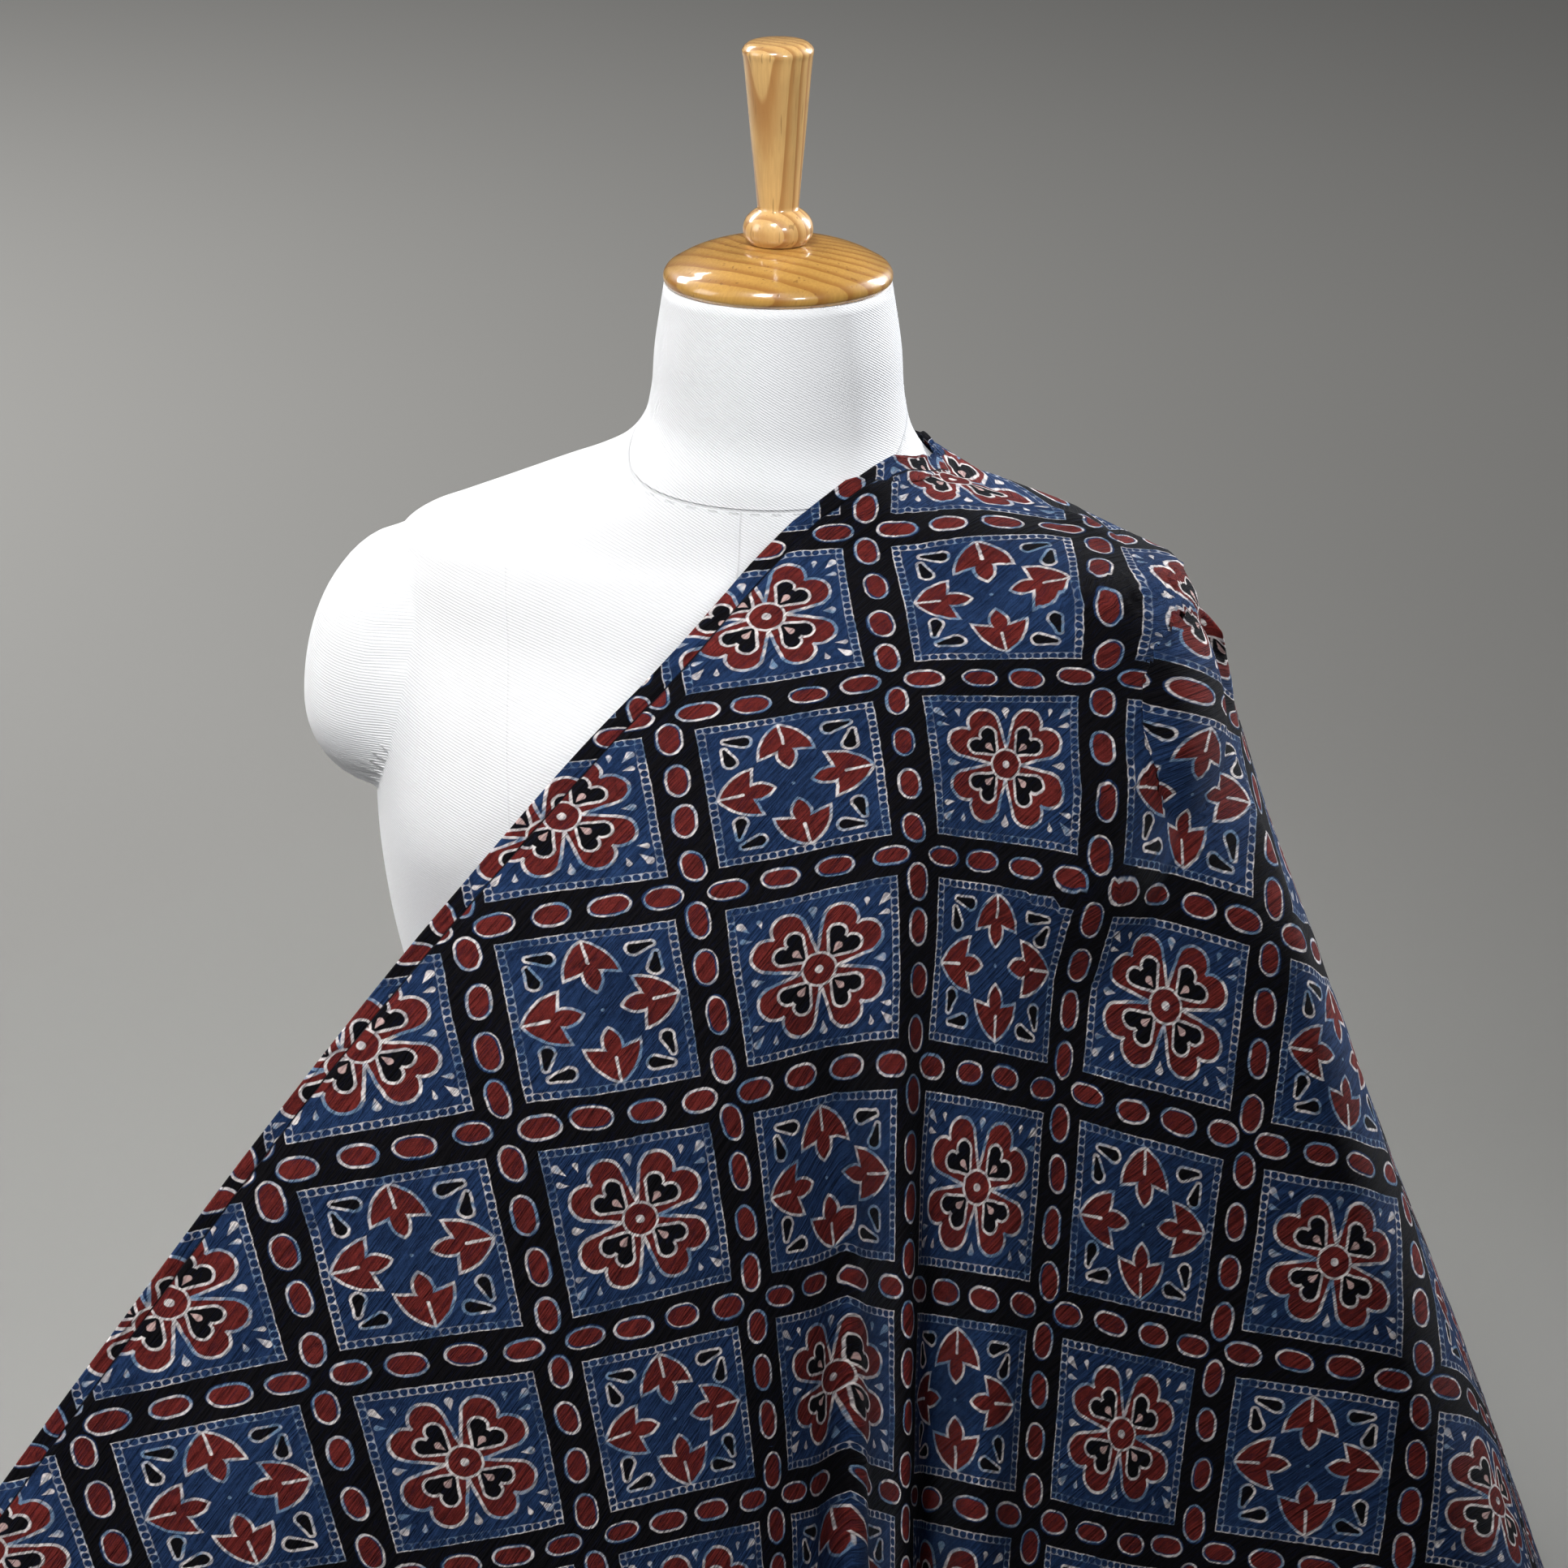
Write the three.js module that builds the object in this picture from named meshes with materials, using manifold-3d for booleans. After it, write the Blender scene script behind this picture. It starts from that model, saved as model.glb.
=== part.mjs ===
// Ajrakh block-printed cotton draped over one shoulder of a small dress form.
//
// Millimetres, +Z up. The origin is on the table under the neck's axis, and the
// view of the cloth's front looks along +Y. The form is turned FORM_TURN about Z,
// so its front faces a little to the left of that view.
import * as THREE from 'three';
import { mergeVertices } from 'three/addons/utils/BufferGeometryUtils.js';
import Module from 'manifold-3d';

const wasm = await Module();
wasm.setup();

const GAP = 0.3; // between neighbouring pieces

const BASE_RADIUS = 118;
const BASE_HEIGHT = 14;
const BASE_EDGE = 3;

const FORM_TURN = THREE.MathUtils.degToRad(-12);
const FORM_ROUND = 2.1; // exponent of the superellipse that each section follows
const FORM_SIDES = 40;

// Sections of the form from hip to neck.
// columns: height, half width, half depth, how far the centre lies behind the axis
const FORM_SECTIONS = [
  [BASE_HEIGHT + GAP, 146, 96, 10],
  [60, 163, 108, 10],
  [130, 158, 104, 8],
  [225, 140, 92, 6],
  [300, 149, 98, 8],
  [370, 169, 110, 10],
  [437, 184, 124, 9],
  [482, 187, 131, 5],
  [530, 187, 120, 8],
  [570, 184, 98, 12],
  [594, 180, 89, 12],
  [606, 173, 83, 12],
  [613, 157, 78, 11],
  [622.5, 135, 73, 9],
  [632.5, 112, 69, 7],
  [642, 90, 65, 5],
  [651.5, 73.5, 61.5, 3],
  [658, 66.5, 58.5, 2],
  [666.5, 60.5, 55.5, 1],
  [681, 56.5, 53.5, 0],
  [700, 55, 52.5, 0],
  [730, 50.5, 50, 0],
];

// How much lower one shoulder is than the other.
// columns: millimetres out from the middle, drop
const FORM_LEAN = [
  [-205, -0.5],
  [-185, -3],
  [-165, -4.6],
  [-100, -3.6],
  [-62, -2],
  [0, 0],
  [40, 1.2],
  [62, 6.2],
  [76, 7],
  [100, 4.8],
  [125, 3],
  [150, 3.8],
  [190, 5],
];

// The capped arm stumps: an egg on each side.
// columns: side, centre out, centre back, centre height, radius out, deep, up, down
const STUMPS = [
  [-1, 178, 2, 528, 43.8, 54, 74, 45],
  [1, 166, 8, 530, 33, 46, 66, 46],
];

const CAP_BASE = 730 + GAP;
// columns: radius, height above the cap's base
const CAP_PROFILE = [
  [0, 0],
  [49.5, 0],
  [50.8, 1.6],
  [51, 4],
  [49.6, 6.8],
  [45, 10],
  [36, 14.2],
  [26, 16.8],
  [17, 17.6],
  [0, 17.6],
];
const FINIAL_BASE = CAP_BASE + 17.6 + GAP;
// columns: radius, height above the finial's base
const FINIAL_PROFILE = [
  [0, 0],
  [12.6, 0],
  [15.2, 3.6],
  [15.6, 6.8],
  [14.4, 10.8],
  [11.4, 14],
  [9.1, 15.6],
  [9.3, 17.4],
  [12, 46],
  [15.4, 83],
  [15.8, 86.4],
  [13.6, 89],
  [7, 90.4],
  [0, 90.8],
];

const SHEET = 2; // thickness of the cloth's solid
const CLEAR = 4; // from the form's skin to the inside of the cloth
const COLUMNS = 36; // strips from the turned-in edge to the shoulder's tip
const ROWS = 18; // bands from the shoulder's crest to the hem
const ROW_SPREAD = 1.4; // over 1, the bands are narrower near the crest
const HEM_PULL = [0.9, 0.45]; // how much of its slope along X and Y a fold keeps down to the hem
const CREST_SLOPE = -0.25; // fall of the cloth as it leaves the crest

// The crest, where the cloth lies over the top of the shoulder.
// columns: distance from the neck point, x, y, z
const CREST = [
  [0, 64.5, -12, 652],
  [10, 74, -13.5, 644],
  [20, 84, -15, 641],
  [40, 104, -17, 636],
  [80, 144, -21, 624],
  [120, 175, -25, 596],
  [150, 192.5, -26, 583],
  [175, 201, -26, 572],
];
const CREST_END = 165;

// Where each fold line of the cloth runs, from the edge that crosses the chest
// round the side to the edge behind.
// columns: name, where it leaves the crest, then x, y, z at chest level, at bust level
// and at the low level
const FOLDS = [
  ['edge', 0, -64.5, -115, 573.5, -142, -142.5, 491, -309, -172, 275.5],
  ['left_1', 6, -24, -119, 571, -85, -148, 488, -201, -180, 281],
  ['left_2', 12, 8, -119, 576, -35, -148, 496, -99, -172, 294],
  ['left_3', 18, 34, -117, 580, 1, -146, 502, -10, -158, 309],
  ['tuck', 24, 52, -113, 581, 29, -144, 508, 30, -131, 305],
  ['ridge_1', 30, 71, -108, 581, 56, -142, 512, 56, -170, 320],
  ['valley_2', 40, 87, -102, 579, 73, -131, 507, 69, -136, 304],
  ['ridge_2', 58, 117, -89, 575, 106, -114, 496, 92, -155, 308],
  ['valley_3', 78, 147, -68, 567, 139, -88, 480, 121, -130, 291],
  ['right_1', 99, 171, -48, 557, 180, -72, 464, 159, -112, 273],
  ['right_2', 120, 191, -27, 543, 221, -52, 444, 200, -90, 254],
  ['right_3', 140, 202, -8, 531, 243, -24, 424, 297, -54, 220],
  ['side', CREST_END, 210, 16, 520, 251, 24, 405, 331, -5, 185],
  ['back_1', 140, 204, 62, 535, 233, 86, 425, 325, 60, 200],
  ['back_2', 114, 178, 92, 552, 190, 115, 450, 280, 122, 225],
  ['back_3', 88, 150, 108, 570, 150, 136, 468, 225, 172, 250],
  ['back_4', 62, 112, 122, 582, 108, 146, 478, 150, 152, 260],
  ['back_5', 38, 70, 128, 590, 66, 150, 486, 80, 187, 275],
  ['back_6', 18, 38, 130, 596, 26, 150, 490, 10, 166, 280],
  ['back_edge', 0, 8, 128, 600, -18, 152, 494, -60, 172, 285],
];

const WOOD = new THREE.MeshStandardMaterial({ color: 0xd9a45a, roughness: 0.28, metalness: 0 });
const COVER = new THREE.MeshStandardMaterial({ color: 0xe9e9ea, roughness: 0.85, metalness: 0 });
const STAND = new THREE.MeshStandardMaterial({ color: 0x2b2b2d, roughness: 0.5, metalness: 0 });
const PRINT = new THREE.MeshStandardMaterial({ color: 0x24416f, roughness: 0.9, metalness: 0 });

// A smooth curve through rows of numbers at rising knots. start, if given, is the
// slope at the first row.
function smoothRow(knots, rows, at, start = null) {
  const last = knots.length - 1;
  let cell = 0;
  while (cell < last - 1 && at >= knots[cell + 1]) cell += 1;
  const step = (k) => knots[k + 1] - knots[k];
  const slope = (k, c) => (rows[k + 1][c] - rows[k][c]) / step(k);
  const tangent = (k, c) => {
    if (k === 0) {
      return start ? start[c] : slope(0, c);
    }
    if (k === last) return slope(last - 1, c);
    return (slope(k - 1, c) * step(k) + slope(k, c) * step(k - 1)) / (step(k) + step(k - 1));
  };
  const h = step(cell);
  const u = (at - knots[cell]) / h;
  const v = 1 - u;
  return rows[cell].map((value, c) => (1 + 2 * u) * v * v * value
    + u * v * v * h * tangent(cell, c)
    + u * u * (3 - 2 * u) * rows[cell + 1][c]
    - u * u * v * h * tangent(cell + 1, c));
}

function distance(p, q) {
  return Math.hypot(...p.map((value, c) => value - q[c]));
}

function runningLengths(points) {
  const lengths = [0];
  for (let k = 1; k < points.length; k += 1) {
    lengths.push(lengths[k - 1] + distance(points[k], points[k - 1]));
  }
  return lengths;
}

// A closed solid from shared points and triangles.
function closedGeometry(points, triangles) {
  const geometry = new THREE.BufferGeometry();
  geometry.setAttribute('position', new THREE.Float32BufferAttribute(points.flat(), 3));
  geometry.setIndex(triangles.flat());
  geometry.computeVertexNormals();
  return geometry;
}

function toManifold(geometry) {
  const bare = geometry.clone();
  bare.deleteAttribute('normal');
  bare.deleteAttribute('uv');
  const merged = mergeVertices(bare, 1e-4);
  return new wasm.Manifold(new wasm.Mesh({
    numProp: 3,
    vertProperties: new Float32Array(merged.attributes.position.array),
    triVerts: new Uint32Array(merged.index.array),
  }));
}

function fromManifold(solid) {
  const mesh = solid.getMesh();
  const geometry = new THREE.BufferGeometry();
  geometry.setAttribute('position', new THREE.Float32BufferAttribute(mesh.vertProperties, 3));
  geometry.setIndex(Array.from(mesh.triVerts));
  geometry.computeVertexNormals();
  return geometry;
}

function turned(profile, base, sides) {
  const outline = profile.map(([radius, height]) => new THREE.Vector2(radius, height));
  const geometry = new THREE.LatheGeometry(outline, sides);
  geometry.rotateX(Math.PI / 2);
  geometry.translate(0, 0, base);
  return geometry;
}

// How far the form's shoulder is lowered at a place, fading away below the stumps and
// up the neck.
function lean(x, z) {
  const low = THREE.MathUtils.smoothstep(z, 440, 570);
  const high = 1 - THREE.MathUtils.smoothstep(z, 662, 712);
  const last = FORM_LEAN.length - 1;
  const out = THREE.MathUtils.clamp(x, FORM_LEAN[0][0], FORM_LEAN[last][0]);
  const cell = Math.max(1, FORM_LEAN.findIndex((row) => row[0] >= out));
  const [[from, first], [to, second]] = [FORM_LEAN[cell - 1], FORM_LEAN[cell]];
  return THREE.MathUtils.mapLinear(out, from, to, first, second) * low * high;
}

function bodySection(height) {
  const heights = FORM_SECTIONS.map((row) => row[0]);
  const clamped = THREE.MathUtils.clamp(height, heights[0], heights[heights.length - 1]);
  const cell = Math.max(1, heights.findIndex((h) => h >= clamped));
  const share = (clamped - heights[cell - 1]) / (heights[cell] - heights[cell - 1]);
  return [1, 2, 3].map((c) => THREE.MathUtils.lerp(FORM_SECTIONS[cell - 1][c], FORM_SECTIONS[cell][c], share));
}

// The form's trunk: its sections joined from hip to neck.
function trunkGeometry() {
  const points = [];
  for (const [height, halfWidth, halfDepth, back] of FORM_SECTIONS) {
    for (let k = 0; k < FORM_SIDES; k += 1) {
      const turn = (2 * Math.PI * k) / FORM_SIDES;
      const [c, s] = [Math.cos(turn), Math.sin(turn)];
      const x = halfWidth * Math.sign(c) * Math.abs(c) ** (2 / FORM_ROUND);
      const y = back + halfDepth * Math.sign(s) * Math.abs(s) ** (2 / FORM_ROUND);
      points.push([x, y, height]);
    }
  }
  const triangles = [];
  const levels = FORM_SECTIONS.length;
  for (let level = 0; level < levels - 1; level += 1) {
    for (let k = 0; k < FORM_SIDES; k += 1) {
      const a = level * FORM_SIDES + k;
      const b = level * FORM_SIDES + ((k + 1) % FORM_SIDES);
      triangles.push([a, b, b + FORM_SIDES], [a, b + FORM_SIDES, a + FORM_SIDES]);
    }
  }
  const top = (levels - 1) * FORM_SIDES;
  for (let k = 1; k < FORM_SIDES - 1; k += 1) {
    triangles.push([0, k + 1, k], [top, top + k, top + k + 1]);
  }
  return closedGeometry(points, triangles);
}

function stumpGeometry([side, out, back, height, radiusOut, radiusDeep, radiusUp, radiusDown]) {
  const egg = new THREE.SphereGeometry(1, 24, 16);
  egg.rotateX(Math.PI / 2);
  const place = egg.attributes.position;
  for (let k = 0; k < place.count; k += 1) {
    const level = place.getZ(k);
    place.setZ(k, level * (level > 0 ? radiusUp : radiusDown));
  }
  egg.scale(radiusOut, radiusDeep, 1);
  egg.translate(side * out, back, height);
  return egg;
}

function formGeometry() {
  let solid = toManifold(trunkGeometry());
  for (const stump of STUMPS) solid = solid.add(toManifold(stumpGeometry(stump)));
  const geometry = fromManifold(solid);
  const place = geometry.attributes.position;
  for (let k = 0; k < place.count; k += 1) {
    place.setZ(k, place.getZ(k) - lean(place.getX(k), place.getZ(k)));
  }
  geometry.computeVertexNormals();
  geometry.rotateZ(FORM_TURN);
  return geometry;
}

// How far a point lies outside the form's skin: roughly, in millimetres.
function skinDistance(point) {
  const [c, s] = [Math.cos(FORM_TURN), Math.sin(FORM_TURN)];
  const x = point[0] * c + point[1] * s;
  const y = -point[0] * s + point[1] * c;
  const z = point[2] + lean(x, point[2]);
  const trunk = (height) => {
    const [halfWidth, halfDepth, back] = bodySection(height);
    const across = Math.abs(x / halfWidth) ** FORM_ROUND;
    const deep = Math.abs((y - back) / halfDepth) ** FORM_ROUND;
    return (across + deep) ** (1 / FORM_ROUND) - 1;
  };
  const [halfWidth, halfDepth] = bodySection(z);
  const level = trunk(z);
  const rise = (trunk(z + 1) - trunk(z - 1)) / 2;
  const side = 1 / Math.min(halfWidth, halfDepth);
  let nearest = level / Math.hypot(side, rise);
  for (const [sign, out, back, height, rx, ry, rz] of STUMPS) {
    const r = [(x - sign * out) / rx, (y - back) / ry, (z - height) / rz];
    const size = Math.hypot(...r);
    const fall = Math.hypot(r[0] / rx, r[1] / ry, r[2] / rz) / Math.max(size, 1e-6);
    nearest = Math.min(nearest, (size - 1) / Math.max(fall, 1e-6));
  }
  return nearest;
}

// Moves a point of the cloth out until it clears the form's skin.
function clearOfSkin(point) {
  let moved = point;
  for (let round = 0; round < 8; round += 1) {
    const short = CLEAR - skinDistance(moved);
    if (short <= 0) break;
    const slope = [0, 1, 2].map((c) => {
      const ahead = moved.map((value, k) => (k === c ? value + 0.5 : value));
      const behind = moved.map((value, k) => (k === c ? value - 0.5 : value));
      return skinDistance(ahead) - skinDistance(behind);
    });
    const size = Math.max(Math.hypot(...slope), 0.2);
    moved = moved.map((value, c) => value + (slope[c] / size) * Math.min(short, 12));
  }
  return moved;
}

// One line down the cloth at place "at" along the fold table: its points from the
// crest to the hem.
function clothLine(knots, at) {
  const row = smoothRow(knots, FOLDS.map((fold) => fold.slice(1)), at);
  const along = THREE.MathUtils.clamp(row[0], 0, CREST_END);
  const crest = smoothRow(CREST.map((r) => r[0]), CREST.map((r) => r.slice(1)), along);
  const chest = row.slice(1, 4);
  const bust = row.slice(4, 7);
  const low = row.slice(7, 10);
  const fall = low[2] / (bust[2] - low[2]);
  const hem = [0, 1].map((c) => low[c] + (low[c] - bust[c]) * fall * HEM_PULL[c]);
  hem.push(0);
  const out = [chest[0] - crest[0], chest[1] - crest[1]];
  const reach = Math.hypot(...out);
  const leave = new THREE.Vector3(out[0] / reach, out[1] / reach, CREST_SLOPE).normalize().toArray();
  const stations = [crest, chest, bust, low, hem];
  const lengths = runningLengths(stations);
  const points = [];
  for (let r = 0; r <= ROWS; r += 1) {
    const length = lengths[4] * (r / ROWS) ** ROW_SPREAD;
    points.push(clearOfSkin(smoothRow(lengths, stations, length, leave)));
  }
  points[ROWS][2] = 0;
  return points;
}

// Where along the table each strip's line stands. Strips behind start from the same
// places on the crest as those in front.
function stripPlaces(knots) {
  const crestAt = (at) => smoothRow(knots, FOLDS.map((fold) => [fold[1]]), at)[0];
  const tip = knots[FOLDS.findIndex((fold) => fold[0] === 'side')];
  const end = knots[knots.length - 1];
  const places = [];
  for (let k = 0; k <= COLUMNS; k += 1) places.push((tip * k) / COLUMNS);
  for (let k = COLUMNS - 1; k >= 0; k -= 1) {
    const wanted = crestAt(places[k]);
    let [low, high] = [tip, end];
    for (let round = 0; round < 40; round += 1) {
      const middle = (low + high) / 2;
      if (crestAt(middle) > wanted) low = middle;
      else high = middle;
    }
    places.push(k === 0 ? end : (low + high) / 2);
  }
  return places;
}

// The cloth: a sheet over the shoulder, given its thickness outwards.
function clothGeometry() {
  const lowLevel = FOLDS.map((fold) => fold.slice(8, 11));
  const knots = [0];
  for (let k = 1; k < FOLDS.length; k += 1) {
    const apart = distance(lowLevel[k], lowLevel[k - 1]);
    knots.push(knots[k - 1] + 3 * Math.sqrt(apart) + 0.5 * apart);
  }
  const lines = stripPlaces(knots).map((at) => clothLine(knots, at));
  const strips = lines.length - 1;
  const points = [];
  const id = lines.map((line, k) => line.map((point, r) => {
    if (r === 0 && k > COLUMNS) return strips - k;
    if (r === 0) return k;
    return null;
  }));
  for (let k = 0; k <= COLUMNS; k += 1) points.push(lines[k][0]);
  for (let k = 0; k <= strips; k += 1) {
    for (let r = 1; r <= ROWS; r += 1) {
      id[k][r] = points.length;
      points.push(lines[k][r]);
    }
  }
  const faces = [];
  for (let k = 0; k < strips; k += 1) {
    for (let r = 0; r < ROWS; r += 1) {
      const [a, b, c, d] = [id[k][r], id[k + 1][r], id[k + 1][r + 1], id[k][r + 1]];
      faces.push([a, d, c], [a, c, b]);
    }
  }
  const sheet = closedGeometry(points, faces);
  const normals = sheet.attributes.normal;
  const outer = points.map((point, k) => [
    point[0] + SHEET * normals.getX(k),
    point[1] + SHEET * normals.getY(k),
    point[2] === 0 ? 0 : point[2] + SHEET * normals.getZ(k),
  ]);
  const count = points.length;
  const rim = [];
  for (let r = ROWS; r > 0; r -= 1) rim.push(id[0][r]);
  rim.push(id[0][0]);
  for (let r = 1; r <= ROWS; r += 1) rim.push(id[strips][r]);
  for (let k = strips - 1; k > 0; k -= 1) rim.push(id[k][ROWS]);
  const inside = faces.map(([a, b, c]) => [a + count, c + count, b + count]);
  const edge = rim.flatMap((a, k) => {
    const b = rim[(k + 1) % rim.length];
    return [[a, b, b + count], [a, b + count, a + count]];
  });
  return closedGeometry([...outer, ...points], [...faces, ...inside, ...edge]);
}

function piece(name, geometry, material) {
  const mesh = new THREE.Mesh(geometry, material);
  mesh.name = name;
  return mesh;
}

function baseGeometry() {
  const profile = [
    [0, 0],
    [BASE_RADIUS, 0],
    [BASE_RADIUS, BASE_HEIGHT - BASE_EDGE],
    [BASE_RADIUS - BASE_EDGE, BASE_HEIGHT],
    [0, BASE_HEIGHT],
  ];
  const geometry = turned(profile, 0, 48);
  geometry.scale(1, 0.78, 1);
  geometry.rotateZ(FORM_TURN);
  return geometry;
}

const part = new THREE.Group();
part.add(
  piece('base', baseGeometry(), STAND),
  piece('form', formGeometry(), COVER),
  piece('neck_cap', turned(CAP_PROFILE, CAP_BASE, 40), WOOD),
  piece('finial', turned(FINIAL_PROFILE, FINIAL_BASE, 28), WOOD),
  piece('cloth', clothGeometry(), PRINT),
);

export default part;
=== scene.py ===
import math

import bpy
import numpy as np
from bpy.props import FloatProperty, FloatVectorProperty, IntProperty, PointerProperty
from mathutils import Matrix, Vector


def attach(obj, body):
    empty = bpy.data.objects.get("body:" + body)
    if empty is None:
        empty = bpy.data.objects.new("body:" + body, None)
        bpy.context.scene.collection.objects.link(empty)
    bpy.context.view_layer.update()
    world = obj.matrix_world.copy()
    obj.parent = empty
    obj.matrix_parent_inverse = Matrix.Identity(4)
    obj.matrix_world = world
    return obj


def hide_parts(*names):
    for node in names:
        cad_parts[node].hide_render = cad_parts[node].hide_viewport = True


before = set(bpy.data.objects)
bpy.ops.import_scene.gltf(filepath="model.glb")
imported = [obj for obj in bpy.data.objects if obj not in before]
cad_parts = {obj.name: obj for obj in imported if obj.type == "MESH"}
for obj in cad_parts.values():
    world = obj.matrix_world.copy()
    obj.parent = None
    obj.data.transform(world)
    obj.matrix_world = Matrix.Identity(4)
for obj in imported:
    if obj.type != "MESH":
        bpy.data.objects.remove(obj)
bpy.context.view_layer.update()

bl_info = {
    "name": "Block-printed cotton on a dress form",
    "version": (1, 0, 0),
    "blender": (4, 5, 0),
    "location": "3D View > Sidebar > Drape",
    "description": "Ajrakh cotton draped over one shoulder of a tabletop dress form",
    "category": "Add Mesh",
}

# All shapes are worked out in millimetres, and put_mesh makes them metres.
FORM_TURN = math.radians(-12)
FORM_ROUND = 2.1
FORM_FOOT = 14.3
NECK_TOP = 730.0
CAP_BASE = 730.3
FINIAL_BASE = 748.2

# Sections of the form from hip to neck.
# columns: height, half width, half depth, how far the centre lies behind the axis
FORM_SECTIONS = np.array([
    (14.3, 146, 96, 10), (60, 163, 108, 10), (130, 158, 104, 8), (225, 140, 92, 6),
    (300, 149, 98, 8), (370, 169, 110, 10), (437, 184, 124, 9), (482, 187, 131, 5),
    (530, 187, 120, 8), (570, 184, 98, 12), (594, 180, 89, 12), (606, 173, 83, 12),
    (613, 157, 78, 11), (622.5, 135, 73, 9), (632.5, 112, 69, 7), (642, 90, 65, 5),
    (651.5, 73.5, 61.5, 3), (658, 66.5, 58.5, 2), (666.5, 60.5, 55.5, 1), (681, 56.5, 53.5, 0),
    (700, 55, 52.5, 0), (730, 50.5, 50, 0),
])
# How much lower one shoulder is than the other: millimetres out from the middle, and drop.
FORM_LEAN = np.array([
    (-205, -0.5), (-185, -3), (-165, -4.6), (-100, -3.6), (-62, -2), (0, 0), (40, 1.2),
    (62, 6.2), (76, 7), (100, 4.8), (125, 3), (150, 3.8), (190, 5),
])

# The capped arm stumps.
# columns: side, centre out, centre back, centre height, radius out, deep, up, down
STUMPS = [
    (-1, 178, 2, 528, 43.8, 54, 74, 45),
    (1, 166, 8, 530, 33, 46, 66, 46),
]

# The turned pieces: columns are radius and height above the piece's own base.
CAP_PROFILE = [(49.5, 0), (50.8, 1.6), (51, 4), (49.6, 6.8), (45, 10), (36, 14.2), (26, 16.8), (17, 17.6)]
BALL_PROFILE = [(12.6, 0), (15.2, 3.6), (15.6, 6.8), (14.4, 10.8), (11.4, 14), (9.1, 15.6)]
GRIP_PROFILE = [(9.3, 17.4), (10.5, 31), (12, 46), (13.6, 64), (15.4, 83), (15.8, 86.4), (13.6, 89),
                (7, 90.4)]
BASE_PROFILE = [(116.8, 0), (117.7, 0.4), (118, 1.2), (118, 10.6)]
BASE_EDGE = 3.5
BASE_SQUASH = 0.78

# The crest, where the cloth lies over the top of the shoulder.
# columns: distance from the neck point, x, y, z
CREST = np.array([
    (0, 65, -14, 649), (10, 74.5, -14.5, 643), (20, 84, -15, 641), (40, 104, -17, 636),
    (80, 144, -21, 624), (120, 175, -25, 596), (150, 192.5, -26, 583), (175, 201, -26, 572),
])
CREST_END = 165.0
# The side of a printed square, half its diagonal, and the print's place at the neck point.
SQUARE = 100
HALF_DIAGONAL = 70.7
CREST_PRINT = np.array([0.45, -2.7])
# How each half leaves the crest: its slope, how much faster the print runs there, and how
# much more the edge rises beside the neck, over how many millimetres of the crest.
LEAVING = {"front": (-0.25, 1.3, 0.62), "back": (-0.25, 1.0, 0)}
NECK_REACH = 15
# How far the folds go on spreading below the low level, sideways and forwards.
HEM_PULL = np.array([0.9, 0.45])
HEM_HEIGHT = 0.3
# The rows lie closer together at the crest.
ROW_SPREAD = 1.25
# How far the cloth stays off the form's skin.
CLEAR = 4.0
# How the shoulder's tip is smoothed: reach in millimetres, and rounds, of shape and print.
TIP_SHAPE = (44, 60)
TIP_PRINT = (36, 1500)
# The pressed crease along the edge: how far in it lies.
EDGE_CREASE = 9

# The camera, in metres and millimetres.
CAMERA_PLACE = (0.0026, -2.4584, 1.3415)
CAMERA_TILT = math.radians(71)
CAMERA_LENS = 130.8
# Half the floor's side.
FLOOR_HALF = 14000

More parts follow.
